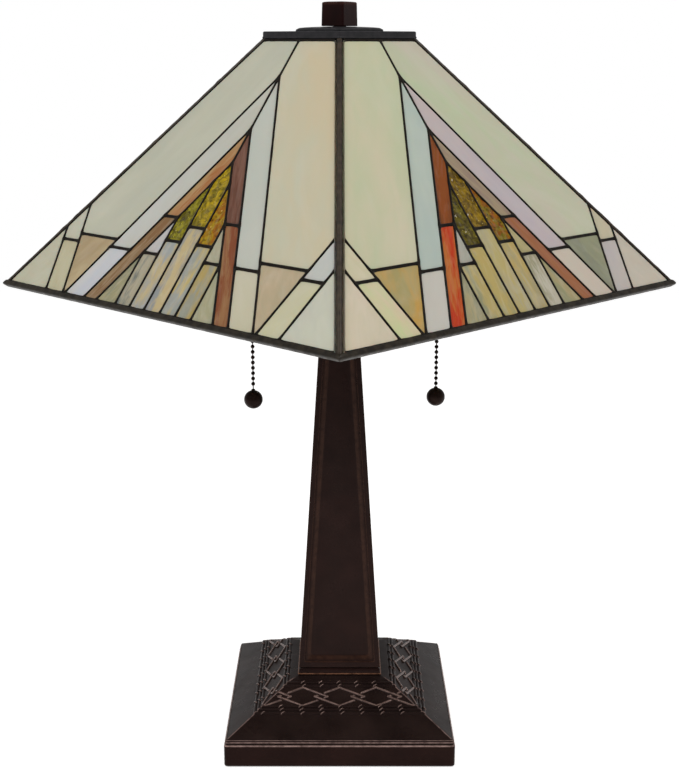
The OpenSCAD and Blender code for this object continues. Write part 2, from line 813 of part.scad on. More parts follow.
felt_pad();
base_shell();
cord_bushing();
column();
column_cap();
centre_pipe();
pipe_washer();
pipe_nut();
cluster();
lead_wires();
socket_cap(-1);  // socket_cap_left
socket_cap(1);  // socket_cap_right
socket_core(-1);  // socket_core_left
socket_core(1);  // socket_core_right
socket_shell(-1);  // socket_shell_left
socket_shell(1);  // socket_shell_right
chain_bell(-1);  // chain_bell_left
chain_bell(1);  // chain_bell_right
switch_chain(-1);  // switch_chain_left
switch_chain(1);  // switch_chain_right
pull_chain(-1);  // pull_chain_left
pull_chain(1);  // pull_chain_right
pull_ball(-1);  // pull_ball_left
pull_ball(1);  // pull_ball_right
bulb(-1);  // bulb_left
bulb(1);  // bulb_right
bulb_base(-1);  // bulb_base_left
bulb_base(1);  // bulb_base_right
riser_rod();
shade_rest();
finial();
finial_insert();
vase_cap();
crown();
corner_ribs();
shade_rim();
leading(0);  // leading_1
leading(1);  // leading_2
leading(2);  // leading_3
leading(3);  // leading_4
glass("pale", 0);  // pale_glass_1
glass("pale", 1);  // pale_glass_2
glass("pale", 2);  // pale_glass_3
glass("pale", 3);  // pale_glass_4
glass("rib", 0);  // rib_glass_1
glass("rib", 1);  // rib_glass_2
glass("rib", 2);  // rib_glass_3
glass("rib", 3);  // rib_glass_4
glass("gold", 0);  // gold_glass_1
glass("gold", 1);  // gold_glass_2
glass("gold", 2);  // gold_glass_3
glass("gold", 3);  // gold_glass_4
glass("slat", 0);  // slat_glass_1
glass("slat", 1);  // slat_glass_2
glass("slat", 2);  // slat_glass_3
glass("slat", 3);  // slat_glass_4
glass("corner", 0);  // corner_glass_1
glass("corner", 1);  // corner_glass_2
glass("corner", 2);  // corner_glass_3
glass("corner", 3);  // corner_glass_4
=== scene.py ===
import math

import bmesh
import bpy
from mathutils import Matrix, Vector, noise


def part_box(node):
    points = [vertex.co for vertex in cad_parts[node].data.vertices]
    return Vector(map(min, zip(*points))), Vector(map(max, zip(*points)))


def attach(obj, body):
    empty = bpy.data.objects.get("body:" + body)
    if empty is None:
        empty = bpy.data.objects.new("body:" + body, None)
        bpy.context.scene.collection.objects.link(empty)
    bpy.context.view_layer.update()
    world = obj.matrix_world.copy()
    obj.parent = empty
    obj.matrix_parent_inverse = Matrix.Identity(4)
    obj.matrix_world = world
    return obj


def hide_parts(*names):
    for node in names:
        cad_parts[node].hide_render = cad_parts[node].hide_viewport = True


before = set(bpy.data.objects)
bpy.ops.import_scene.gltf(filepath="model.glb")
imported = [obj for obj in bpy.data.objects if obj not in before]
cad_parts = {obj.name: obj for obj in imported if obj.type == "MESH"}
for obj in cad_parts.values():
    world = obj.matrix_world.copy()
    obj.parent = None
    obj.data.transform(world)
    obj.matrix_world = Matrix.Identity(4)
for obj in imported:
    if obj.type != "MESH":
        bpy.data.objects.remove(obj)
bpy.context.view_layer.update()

# Two-light table lamp with a square leaded-glass shade. Metres, +Z up, -Y the front.
MM = 0.001

# Shade: half side at the glass mid-plane at the lower edge and at the top, and the two heights.
SHADE_HALF, SHADE_TOP_HALF = 0.175, 0.036
SHADE_Z, SHADE_TOP_Z = 0.350, 0.528
FACE_TILT = math.atan2(SHADE_TOP_Z - SHADE_Z, SHADE_HALF - SHADE_TOP_HALF)
SLOPE_L = math.hypot(SHADE_TOP_Z - SHADE_Z, SHADE_HALF - SHADE_TOP_HALF)
FACES = (1, 2, 3, 4)
GLASS_T = 2.6 * MM
# Leads: half the thickness, half the gap between panes, and how far each kind reaches over its pane.
LEAD_HALF_T, HEART_HALF = 2.2 * MM, 0.5 * MM
LEAD_HALF_W, CORNER_LEAD_HALF_W = 0.9 * MM, 0.6 * MM
BAR_HALF_W, FOOT_BAR_HALF_W = 1.35 * MM, 1.0 * MM
# The sideways part of the direction of a face's slanted edges.
CORNER_LEAN = (SHADE_HALF - SHADE_TOP_HALF) / math.hypot(SHADE_HALF - SHADE_TOP_HALF, SLOPE_L)
RIB_R, RIB_START, RIB_SHORT = 2.55 * MM, 0.3 * MM, 2.1 * MM
FINIAL_TURN, FINIAL_HALF, VASE_CAP_HALF = 56, 9.5 * MM, 23.5 * MM
SIDES = ("left", "right")

# The camera fitted to the photograph: place, degrees below level, and focal length on a 36 mm frame.
CAMERA_PLACE, CAMERA_DOWN, CAMERA_LENS = (0, -1.0029, 0.52507), 14.13, 63.81
# Square lights: place, height aimed at, side, power in watts and colour.
LIGHTS = {
    "key": ((-1.1, -1.0, 1.8), 0.35, 1.1, 21.5, (1, 1, 1)),
    "fill": ((1.1, -1.0, 1.8), 0.35, 1.1, 10, (1, 1, 1)),
    "spark": ((0.9, -0.45, 1.6), 0.1, 0.3, 5.5, (1.0, 0.94, 0.9)),
}
FLOOR_R, FLOOR_SIDES = 2.2, 64


def srgb(r, g, b):
    """A screen colour, 0 to 255, in linear light."""
    def linear(c):
        c /= 255
        return c / 12.92 if c <= 0.04045 else ((c + 0.055) / 1.055) ** 2.4
    return (linear(r), linear(g), linear(b), 1.0)


# ---------- camera, floor and light ----------

def add_object(name, data):
    obj = bpy.data.objects.new(name, data)
    bpy.context.scene.collection.objects.link(obj)
    return obj


def make_camera():
    camera = add_object("camera", bpy.data.cameras.new("camera"))
    camera.location = CAMERA_PLACE
    camera.rotation_euler = (math.radians(90 - CAMERA_DOWN), 0, 0)
    camera.data.lens, camera.data.sensor_width = CAMERA_LENS, 36
    bpy.context.scene.camera = camera
    bpy.context.scene.view_settings.view_transform = "Standard"


def area_light(name, place, aim_z, side, power, colour):
    light = add_object(name, bpy.data.lights.new(name, "AREA"))
    light.data.shape = "RECTANGLE"
    light.data.size = light.data.size_y = side
    light.data.energy, light.data.color = power, colour
    light.location = place
    light.rotation_euler = (Vector((0, 0, aim_z)) - Vector(place)).to_track_quat("-Z", "Y").to_euler()


def make_light():
    """A white studio: bright at the horizon, dimmer overhead and behind the camera, and plain white where seen."""
    world = bpy.data.worlds.new("studio")
    bpy.context.scene.world = world
    world.use_nodes = True
    sky, background = Nodes(world.node_tree), world.node_tree.nodes["Background"]
    way = sky.axes(sky.node("ShaderNodeTexCoord").outputs["Generated"])
    overhead = sky.spread(way["Z"], 0.22, 0.55, 0.62, 0.34)
    behind = sky.spread(way["Y"], -0.75, 0.0, 0.3, 1.0)
    seen = sky.node("ShaderNodeLightPath").outputs["Is Camera Ray"]
    sky.link(sky.math("MAXIMUM", sky.math("MULTIPLY", overhead, behind), seen), background.inputs["Strength"])
    background.inputs["Color"].default_value = (1, 1, 1, 1)
    for name, settings in LIGHTS.items():
        area_light(name, *settings)


def make_floor():
    """A white floor, clear when seen from below."""
    mesh = bpy.data.meshes.new("floor")
    rim = [(FLOOR_R * math.cos(a), FLOOR_R * math.sin(a), 0) for a in round_angles(FLOOR_SIDES)]
    mesh.from_pydata(rim, [], [tuple(range(FLOOR_SIDES))])
    floor = add_object("floor", mesh)
    shader = Shader("floor_paint", (0.93, 0.93, 0.93, 1), 0.75,
                    Emission_Color=(1, 1, 1, 1), Emission_Strength=0.6)
    shader.mottle((0.94, 0.94, 0.94, 1), (0.92, 0.92, 0.92, 1), 3)
    above = shader.node("ShaderNodeMixShader")
    output = next(n for n in shader.tree.nodes if n.type == "OUTPUT_MATERIAL")
    shader.link(shader.node("ShaderNodeNewGeometry").outputs["Backfacing"], above.inputs[0])
    shader.link(shader.bsdf.outputs[0], above.inputs[1])
    shader.link(shader.node("ShaderNodeBsdfTransparent").outputs[0], above.inputs[2])
    shader.link(above.outputs[0], output.inputs["Surface"])
    mesh.materials.append(shader.material)


# ---------- materials ----------

class Nodes:
    """A node tree, with short ways of adding to it."""

    def __init__(self, tree):
        self.tree = tree

    def node(self, kind, **settings):
        made = self.tree.nodes.new(kind)
        for key, value in settings.items():
            setattr(made, key, value)
        return made

    def link(self, output, target):
        self.tree.links.new(output, target)

    def axes(self, vector):
        split = self.node("ShaderNodeSeparateXYZ")
        self.link(vector, split.inputs[0])
        return split.outputs

    def math(self, operation, a, b):
        step = self.node("ShaderNodeMath", operation=operation)
        self.link(a, step.inputs[0])
        self.link(b, step.inputs[1])
        return step.outputs[0]

    def spread(self, value, low, high, out_low=0.0, out_high=1.0):
        step = self.node("ShaderNodeMapRange")
        for key, number in zip(("From Min", "From Max", "To Min", "To Max"), (low, high, out_low, out_high)):
            step.inputs[key].default_value = number
        self.link(value, step.inputs["Value"])
        return step.outputs[0]


class Shader(Nodes):
    """A Principled material with short ways of adding procedural detail."""

    def __init__(self, name, colour, roughness, metallic=0.0, **settings):
        self.material = bpy.data.materials.new(name)
        self.material.use_nodes = True
        super().__init__(self.material.node_tree)
        self.bsdf = self.tree.nodes["Principled BSDF"]
        for key, value in dict(Base_Color=colour, Roughness=roughness, Metallic=metallic, **settings).items():
            self.bsdf.inputs[key.replace("_", " ")].default_value = value
        self.place = self.node("ShaderNodeTexCoord").outputs["Object"]

    def stretched(self, source, scale):
        mapping = self.node("ShaderNodeMapping")
        mapping.inputs["Scale"].default_value = scale
        self.link(source, mapping.inputs["Vector"])
        return mapping.outputs[0]

    def noise(self, scale, detail=3.0, source=None, distortion=0.0):
        texture = self.node("ShaderNodeTexNoise")
        texture.inputs["Scale"].default_value = scale
        texture.inputs["Detail"].default_value = detail
        texture.inputs["Distortion"].default_value = distortion
        self.link(source or self.place, texture.inputs["Vector"])
        return texture.outputs["Fac"]

    def cells(self, scale):
        texture = self.node("ShaderNodeTexVoronoi", feature="F1")
        texture.inputs["Scale"].default_value = scale
        self.link(self.place, texture.inputs["Vector"])
        return texture.outputs["Distance"]

    def mix(self, factor, a, b, blend="MIX"):
        mixer = self.node("ShaderNodeMix", data_type="RGBA", blend_type=blend)
        for source, socket in ((factor, mixer.inputs[0]), (a, mixer.inputs[6]), (b, mixer.inputs[7])):
            if isinstance(source, (tuple, float)):
                socket.default_value = source
            else:
                self.link(source, socket)
        return mixer.outputs[2]

    def attribute(self, name, output="Color"):
        return self.node("ShaderNodeAttribute", attribute_name=name).outputs[output]

    def colour(self, output):
        self.link(output, self.bsdf.inputs["Base Color"])

    def mottle(self, a, b, scale, detail=4.0):
        """Base colour wandering between a and b."""
        self.colour(self.mix(self.spread(self.noise(scale, detail), 0.35, 0.65), a, b))

    def rough(self, scale, low, high):
        self.link(self.spread(self.noise(scale, 4.0), 0.3, 0.7, low, high), self.bsdf.inputs["Roughness"])

    def bump(self, height, strength, distance):
        step = self.node("ShaderNodeBump")
        step.inputs["Strength"].default_value = strength
        step.inputs["Distance"].default_value = distance
        self.link(height, step.inputs["Height"])
        last = self.bsdf.inputs["Normal"]
        if last.links:
            self.link(last.links[0].from_socket, step.inputs["Normal"])
        self.link(step.outputs[0], last)


def bronze_paint(name, dark, light, wear_and_highlight, gloss, foot_top=0.0, polish=(0.24, 0.38)):
    """Dark bronze lacquer, turned copper where the wear_and_highlight attribute is high (edge wear and painted
    highlights), darker and redder below foot_top.
    """
    shader = Shader(name, dark, 0.35, Specular_IOR_Level=gloss, Specular_Tint=(0.85, 0.6, 0.54, 1))
    body = shader.mix(shader.spread(shader.noise(38, 5), 0.32, 0.68), dark, light)
    if foot_top:
        on_foot = shader.spread(shader.axes(shader.place)["Z"], foot_top - 0.5 * MM, foot_top, 1.0, 0.0)
        body = shader.mix(on_foot, body, (0.7, 0.45, 0.42, 1), "MULTIPLY")
    patchy = shader.spread(shader.noise(260, 3), 0.3, 0.6, 0.35, 1.0)
    # Lighter copper where worn, and where highlights are painted on edges and crests.
    wear_and_highlight_amount = shader.math("MULTIPLY", shader.attribute("wear_and_highlight", "Fac"), patchy)
    shader.colour(shader.mix(wear_and_highlight_amount, body, wear_and_highlight))
    shader.rough(70, *polish)
    shader.bump(shader.noise(900, 2), 0.12, 0.3 * MM)
    shader.bump(shader.noise(140, 3), 0.10, 0.8 * MM)
    return shader.material


def solder(name, dark, light, gloss):
    """Soldered lead with a brown-black patina."""
    shader = Shader(name, dark, 0.4, Specular_IOR_Level=gloss)
    shader.mottle(dark, light, 240, 5)
    shader.rough(180, 0.3, 0.55)
    shader.bump(shader.noise(420, 4), 0.35, 0.35 * MM)
    return shader.material


def plated(name, colour, tarnish, roughness, scale=120.0):
    """Plated or polished metal, tarnished in patches and finely scratched."""
    shader = Shader(name, colour, roughness, 1.0)
    shader.mottle(colour, tarnish, scale, 6)
    shader.rough(scale * 2, roughness * 0.7, roughness * 1.4)
    scratches = shader.noise(1.0, 3, shader.stretched(shader.place, (2600, 2600, 160)))
    shader.bump(scratches, 0.06, 0.1 * MM)
    return shader.material


def plain_plastic(name, a, b, roughness, grain):
    shader = Shader(name, a, roughness)
    shader.mottle(a, b, 90)
    shader.rough(200, roughness * 0.8, roughness * 1.2)
    shader.bump(shader.noise(grain, 3), 0.15, 0.2 * MM)
    return shader.material


def felt_cloth():
    shader = Shader("felt_cloth", (0.02, 0.03, 0.02, 1), 0.95, Sheen_Weight=0.4, Sheen_Roughness=0.5)
    shader.mottle(srgb(38, 48, 36), srgb(24, 32, 24), 700, 6)
    shader.bump(shader.noise(2400, 6, distortion=1.5), 0.7, 0.5 * MM)
    return shader.material


def frosted_glass():
    shader = Shader("frosted_glass", (0.9, 0.9, 0.87, 1), 0.35, Subsurface_Weight=0.3,
                    Subsurface_Scale=0.004, Coat_Weight=0.3, Coat_Roughness=0.15)
    shader.mottle(srgb(244, 243, 238), srgb(236, 234, 226), 60)
    shader.rough(300, 0.28, 0.42)
    shader.bump(shader.noise(1200, 2), 0.05, 0.1 * MM)
    return shader.material


def opal_glass(name, along, across, wisp, ripple, roughness, contrast=0.11):
    """Opalescent glass: two tints of each piece drift into each other along its grain."""
    shader = Shader(name, (0.6, 0.6, 0.5, 1), roughness, Specular_IOR_Level=0.3, Coat_Weight=0.15,
                    Coat_Roughness=0.06, Subsurface_Weight=0.12, Subsurface_Scale=0.002)
    grain = shader.node("ShaderNodeUVMap", uv_map="grain").outputs[0]
    broad = shader.noise(1.0, 3, shader.stretched(grain, (along, across, 1)), 0.6)
    fine = shader.noise(1.0, 4, shader.stretched(grain, (along * 3.2, across * 3.4, 1)), 1.2)
    blend = shader.node("ShaderNodeMix", data_type="FLOAT")
    blend.inputs[0].default_value = 0.35
    shader.link(broad, blend.inputs[2])
    shader.link(fine, blend.inputs[3])
    drift = shader.spread(blend.outputs[0], 0.51 - contrast, 0.51 + contrast)
    body = shader.mix(drift, shader.attribute("tint_a"), shader.attribute("tint_b"))
    wisps = shader.noise(1.0, 5, shader.stretched(grain, (along * 1.7, across * 1.2, 1)), 2.0)
    shader.colour(shader.mix(shader.spread(wisps, 0.46, 0.75, 0.0, wisp), body, srgb(214, 212, 204)))
    shader.rough(160, roughness * 0.6, roughness * 1.5)
    ripples = shader.noise(1.0, 2, shader.stretched(grain, (along * 2.5, across * 2.5, 1)))
    shader.bump(ripples, ripple, 1.2 * MM)
    shader.bump(shader.noise(700, 2), 0.04, 0.2 * MM)
    return shader.material


def hammered_glass():
    """Gold cathedral glass with a hammered face, olive and amber, with a few pale flecks that are painted glints.
    """
    shader = Shader("gold_glass", (0.3, 0.2, 0.02, 1), 0.08, Specular_IOR_Level=0.2, Coat_Weight=0.08,
                    Coat_Roughness=0.03)
    patches = shader.spread(shader.noise(150, 4, distortion=1.2), 0.38, 0.62)
    body = shader.mix(patches, shader.attribute("tint_a"), shader.attribute("tint_b"))
    dark = shader.spread(shader.noise(330, 3, distortion=0.6), 0.30, 0.52, 0.45, 1.15)
    lit = shader.node("ShaderNodeVectorMath", operation="SCALE")
    shader.link(body, lit.inputs[0])
    shader.link(dark, lit.inputs["Scale"])
    # Pale flecks on the hammered face: painted glints.
    painted_glints = shader.spread(shader.noise(640, 2), 0.70, 0.76)
    shader.colour(shader.mix(painted_glints, lit.outputs[0], srgb(226, 208, 112)))
    shader.rough(400, 0.04, 0.16)
    shader.bump(shader.cells(240), 0.6, 1.4 * MM)
    return shader.material


# ---------- mesh building ----------

class Shape:
    """Vertices and faces of one piece, gathered grid by grid, with a wear and painted-highlight value for each
    vertex.
    """

    def __init__(self):
        self.verts, self.faces, self.wear_and_highlight = [], [], []

    def grid(self, rows, around=False, loop=False, wear_and_highlight=0.0):
        """Quads between rows of points. around joins each row's ends, loop joins the last row to the first."""
        first, n = len(self.verts), len(rows[0])
        for row in rows:
            self.verts += [tuple(p) for p in row]
            self.wear_and_highlight += [wear_and_highlight] * n
        for i in range(len(rows) if loop else len(rows) - 1):
            low, high = first + i * n, first + (i + 1) % len(rows) * n
            for j in range(n if around else n - 1):
                k = (j + 1) % n
                self.faces.append((low + j, low + k, high + k, high + j))
        return first

    def cap(self, first, count, flip=False):
        ring = tuple(range(first, first + count))
        self.faces.append(ring[::-1] if flip else ring)

    def tube(self, rows, wear_and_highlight=0.0):
        """A closed tube through rings of points."""
        first, n = self.grid(rows, around=True, wear_and_highlight=wear_and_highlight), len(rows[0])
        self.cap(first, n, flip=True)
        self.cap(first + (len(rows) - 1) * n, n)

    def piece(self, name, material, body, slot, replaces=(), smooth_angle=40):
        mesh = bpy.data.meshes.new(name)
        mesh.from_pydata(self.verts, [], self.faces)
        mesh.materials.append(material)
        layer = mesh.attributes.new("wear_and_highlight", "FLOAT", "POINT")
        layer.data.foreach_set("value", self.wear_and_highlight)
        tidy = bmesh.new()
        tidy.from_mesh(mesh)
        bmesh.ops.remove_doubles(tidy, verts=tidy.verts, dist=0.004 * MM)
        bmesh.ops.dissolve_degenerate(tidy, edges=tidy.edges, dist=0.002 * MM)
        bmesh.ops.recalc_face_normals(tidy, faces=tidy.faces)
        tidy.to_mesh(mesh)
        tidy.free()
        mesh.shade_smooth()
        mesh.set_sharp_from_angle(angle=math.radians(smooth_angle))
        return place(add_object(name, mesh), body, slot, replaces)


def place(obj, body, slot, replaces=()):
    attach(obj, body)
    if replaces:
        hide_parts(*replaces)
    return obj


def fillet(corners, closed=False, steps=5):
    """An outline through corners given as (x, z, radius), each rounded to its radius."""
    out, n = [], len(corners)
    for i, (x, z, r) in enumerate(corners):
        here = Vector((x, z))
        if r == 0 or (not closed and i in (0, n - 1)):
            out.append(here)
            continue
        back = Vector(corners[i - 1][:2]) - here
        ahead = Vector(corners[(i + 1) % n][:2]) - here
        turn = math.pi - back.angle(ahead)
        reach = min(r * math.tan(turn / 2), back.length * 0.49, ahead.length * 0.49)
        start, end = here + back.normalized() * reach, here + ahead.normalized() * reach
        for j in range(steps + 1):
            t = j / steps
            out.append(start * (1 - t) ** 2 + here * 2 * t * (1 - t) + end * t * t)
    return out


def round_angles(count):
    return [math.tau * i / count for i in range(count)]


def circle(centre, radius, z, count):
    return [Vector((centre[0] + radius * math.cos(a), centre[1] + radius * math.sin(a), z))
            for a in round_angles(count)]


def lathe(shape, centre, outline, count=40, closed=False, wear_and_highlight=0.0):
    """Turns an outline of (radius, height) points about a vertical axis."""
    rows = [circle(centre, max(r, 1e-6), z, count) for r, z in outline]
    shape.grid(rows, around=True, loop=closed, wear_and_highlight=wear_and_highlight)


def square_ring(half, z, corner, steps, arc_steps=4, turn=0.0):
    """A square ring of points with rounded corners, and in a fine one an extra point near each side's ends."""
    corner = min(corner, half * 0.5)
    marks = [2 * i / steps - 1 for i in range(steps + 1)]
    if steps > 10:
        marks[1:-1] = [-0.975] + marks[1:-1] + [0.975]
    points, flat = [], half - corner
    for k in range(4):
        turned = Matrix.Rotation(math.pi / 2 * k + turn, 3, "Z")
        local = [(flat * mark, -half) for mark in marks]
        for j in range(1, arc_steps):
            a = math.pi / 2 * j / arc_steps
            local.append((flat + corner * math.sin(a), -flat - corner * math.cos(a)))
        points += [turned @ Vector((x, y, z)) for x, y in local]
    return points


def square_turned(shape, outline, corner, steps=1, turn=0.0, closed=True, wear_and_highlight=None):
    """A square-plan solid: the outline of (half side, height) points carried round four sides."""
    first = len(shape.verts)
    rows = [square_ring(h, z, corner(z) if callable(corner) else corner, steps, turn=turn) for h, z in outline]
    shape.grid(rows, around=True, loop=closed)
    if wear_and_highlight:
        for i in range(first, len(shape.verts)):
            shape.wear_and_highlight[i] = wear_and_highlight(Vector(shape.verts[i]))


def ball(shape, centre, radius, count):
    """A ball, as rings from its foot to its top."""
    levels = [math.pi * i / (count // 2) for i in range(count // 2 + 1)]
    lathe(shape, centre, [(radius * math.sin(a), centre[2] - radius * math.cos(a)) for a in levels], count)


def axis_of(node):
    low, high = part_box(node)
    return (low + high) / 2


def turned_piece(name, node, corners, count, material, slot, closed=True, steps=3):
    """A piece of the stand turned about a CAD node's axis, from an outline in mm, in that node's place."""
    shape = Shape()
    lathe(shape, axis_of(node), [p * MM for p in fillet(corners, closed, steps)], count, closed=closed)
    shape.piece(name, material, "lamp_stand", slot, [node])


# ---------- shade geometry ----------

def face_matrix(k):
    """From one face's own coordinates (along the edge, up the slope, outwards) to the row frame."""
    turn = Matrix.Rotation(math.radians(-45 - 90 * (k - 1)), 4, "Z")
    out = Matrix.Translation((0, -SHADE_HALF, SHADE_Z))
    return turn @ out @ Matrix.Rotation(FACE_TILT, 4, "X")


def outlines(node, matrix):
    """The outline of each separate pane in a CAD glass node, in face coordinates, counter-clockwise."""
    mesh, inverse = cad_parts[node].data, matrix.inverted()
    owner = {}

    def root(p):
        while owner[p] != p:
            p = owner[p]
        return p

    spots = [inverse @ v.co for v in mesh.vertices]
    keys = [tuple(round(c * 1e5) for c in s) for s in spots]
    for key in keys:
        owner.setdefault(key, key)
    for polygon in mesh.polygons:
        corners = [keys[i] for i in polygon.vertices]
        for other in corners[1:]:
            owner[root(other)] = root(corners[0])
    groups = {}
    for key in sorted(owner):
        groups.setdefault(root(key), set()).add((key[0] * 1e-5, key[1] * 1e-5))
    found = []
    for points in groups.values():
        middle = sum((Vector(p) for p in points), Vector((0, 0))) / len(points)
        ordered = sorted(points, key=lambda p: math.atan2(p[1] - middle.y, p[0] - middle.x))
        found.append(([Vector(p) for p in ordered], middle))
    return sorted(found, key=lambda f: (round(f[1].y, 5), round(f[1].x, 5)))


def grown(outline, width):
    """A convex counter-clockwise outline with each side moved outwards by width(its direction)."""
    out, n = [], len(outline)
    for i in range(n):
        e = (outline[i] - outline[i - 1]).normalized()
        f = (outline[(i + 1) % n] - outline[i]).normalized()
        p = outline[i] + Vector((e.y, -e.x)) * width(e)
        q = outline[i] + Vector((f.y, -f.x)) * width(f)
        cross = e.x * f.y - e.y * f.x
        if abs(cross) < 1e-6:
            out.append(p)
        else:
            out.append(p + e * (((q - p).x * f.y - (q - p).y * f.x) / cross))
    return out


# For each kind of glass, the roles of the panes right and left of the centre line, and the axis they lie
# along: 0 outwards from the centre line, 1 up the slope.
ROLE_ORDER = {
    "pale": (1, ("strip_low", "strip_high", "panel")),
    "rib": (1, ("rib_low", "rib_high")),
    "gold": (0, ("gold_side",)),
    "slat": (0, ("slat_1", "small_triangle", "slat_2", "end_triangle")),
    "corner": (0, ("hanging", "corner_low", "corner_high", "corner_triangle")),
}


def named_panes(kind, k):
    """Each pane of one kind on one face with its role and side: -1 left of the centre line, 1 right, 0 on it."""
    axis, roles = ROLE_ORDER[kind]
    panes = outlines(f"{kind}_glass_{k}", face_matrix(k))
    named = []
    for side in (-1, 1):
        half = [p for p in panes if p[1].x * side > 1 * MM]
        half.sort(key=lambda p: abs(p[1][axis]))
        named += [(outline, role, side) for (outline, _), role in zip(half, roles)]
    centre = {"gold": "gold_middle", "slat": "slat_0"}
    named += [(outline, centre[kind], 0) for outline, middle in panes if abs(middle.x) <= 1 * MM]
    return named


# Tints of each pane: the front left face's glass is cream and warm, the front right face's greener.
# Each entry is the two tints of the left pane and then of the right one.
WARM = {
    "panel": ((184, 183, 163), (177, 177, 160), (187, 184, 160), (194, 181, 151)),
    "strip_high": ((180, 179, 166), (186, 186, 180), (184, 184, 172), (180, 184, 174)),
    "strip_low": ((192, 190, 186), (184, 186, 192), (190, 184, 160), (184, 178, 150)),
    "rib_high": ((154, 98, 52), (166, 134, 90), (92, 56, 40), (112, 74, 58)),
    "rib_low": ((124, 92, 58), (148, 126, 96), (124, 66, 36), (142, 102, 64)),
    "gold_side": ((132, 124, 22), (80, 72, 12), (146, 120, 18), (134, 82, 8)),
    "gold_middle": ((164, 138, 18), (112, 98, 14), (164, 138, 18), (112, 98, 14)),
    "slat_0": ((182, 164, 122), (138, 140, 138), (182, 164, 122), (138, 140, 138)),
    "slat_1": ((178, 162, 122), (152, 154, 150), (180, 160, 104), (146, 148, 140)),
    "slat_2": ((160, 152, 128), (100, 106, 104), (142, 142, 126), (166, 146, 88)),
    "small_triangle": ((176, 172, 166), (184, 182, 182), (160, 156, 132), (170, 164, 138)),
    "end_triangle": ((136, 134, 106), (156, 148, 112), (158, 154, 122), (146, 146, 124)),
    "hanging": ((178, 160, 124), (162, 142, 108), (170, 156, 126), (186, 166, 138)),
    "corner_low": ((182, 176, 146), (176, 166, 134), (188, 184, 158), (190, 186, 148)),
    "corner_high": ((182, 180, 158), (188, 186, 170), (188, 188, 180), (182, 184, 178)),
    "corner_triangle": ((184, 182, 160), (180, 176, 152), (190, 190, 172), (184, 184, 170)),
}
GREEN = {
    "panel": ((181, 187, 154), (194, 188, 160), (176, 186, 153), (186, 180, 162)),
    "strip_high": ((168, 180, 172), (176, 186, 172), (184, 172, 166), (176, 166, 170)),
    "strip_low": ((190, 187, 178), (184, 180, 170), (186, 182, 166), (190, 176, 162)),
    "rib_high": ((128, 64, 8), (96, 48, 8), (152, 136, 108), (138, 118, 104)),
    "rib_low": ((176, 50, 8), (176, 100, 40), (146, 92, 56), (138, 88, 66)),
    "gold_side": ((96, 86, 18), (66, 56, 14), (112, 96, 16), (132, 74, 8)),
    "gold_middle": ((130, 104, 14), (84, 64, 8), (130, 104, 14), (84, 64, 8)),
    "slat_0": ((172, 158, 104), (164, 156, 124), (172, 158, 104), (164, 156, 124)),
    "slat_1": ((172, 154, 94), (148, 144, 106), (176, 154, 90), (156, 146, 108)),
    "slat_2": ((170, 154, 98), (140, 138, 106), (178, 172, 154), (146, 142, 114)),
    "small_triangle": ((168, 164, 152), (158, 158, 146), (164, 152, 104), (150, 146, 110)),
    "end_triangle": ((142, 140, 112), (160, 150, 112), (140, 138, 104), (158, 146, 106)),
    "hanging": ((158, 146, 96), (190, 146, 68), (140, 142, 112), (126, 128, 108)),
    "corner_low": ((190, 196, 148), (206, 186, 160), (182, 174, 164), (176, 170, 168)),
    "corner_high": ((202, 194, 166), (194, 188, 158), (190, 178, 152), (182, 176, 150)),
    "corner_triangle": ((202, 190, 168), (192, 184, 158), (188, 178, 162), (180, 174, 160)),
}
PALETTES = {1: (WARM, 1), 2: (GREEN, -1), 3: (WARM, -1), 4: (GREEN, 1)}


def tints(role, k, side):
    palette, hand = PALETTES[k]
    entry = palette[role]
    pair = entry[:2] if side * hand <= 0 else entry[2:]
    return [srgb(*colour) for colour in pair]


def pane_surface(outline, step):
    """A grid of about that step, cut to a convex outline: its points, faces and boundary edges."""
    low = Vector((min(p.x for p in outline), min(p.y for p in outline)))
    high = Vector((max(p.x for p in outline), max(p.y for p in outline)))
    size = high - low
    cut = bmesh.new()
    cover = Matrix.Diagonal((size.x * 0.51, size.y * 0.51, 1, 1))
    bmesh.ops.create_grid(cut, x_segments=max(2, round(size.x / step)),
                          y_segments=max(2, round(size.y / step)),
                          size=1.0, matrix=Matrix.Translation((low + size / 2).to_3d()) @ cover)
    for i, p in enumerate(outline):
        along = outline[(i + 1) % len(outline)] - p
        geometry = cut.verts[:] + cut.edges[:] + cut.faces[:]
        bmesh.ops.bisect_plane(cut, geom=geometry, plane_co=p.to_3d(), plane_no=(along.y, -along.x, 0),
                               clear_outer=True, dist=1e-7)
    bmesh.ops.remove_doubles(cut, verts=cut.verts, dist=0.02 * MM)
    bmesh.ops.dissolve_degenerate(cut, edges=cut.edges, dist=0.01 * MM)
    bmesh.ops.recalc_face_normals(cut, faces=cut.faces)
    cut.verts.index_update()
    if sum(f.normal.z for f in cut.faces) < 0:
        bmesh.ops.reverse_faces(cut, faces=cut.faces)
    points = [v.co.xy.copy() for v in cut.verts]
    faces = [[v.index for v in f.verts] for f in cut.faces]
    edges = [(a.vert.index, a.link_loop_next.vert.index)
             for f in cut.faces for a in f.loops if a.edge.is_boundary]
    cut.free()
    return points, faces, edges


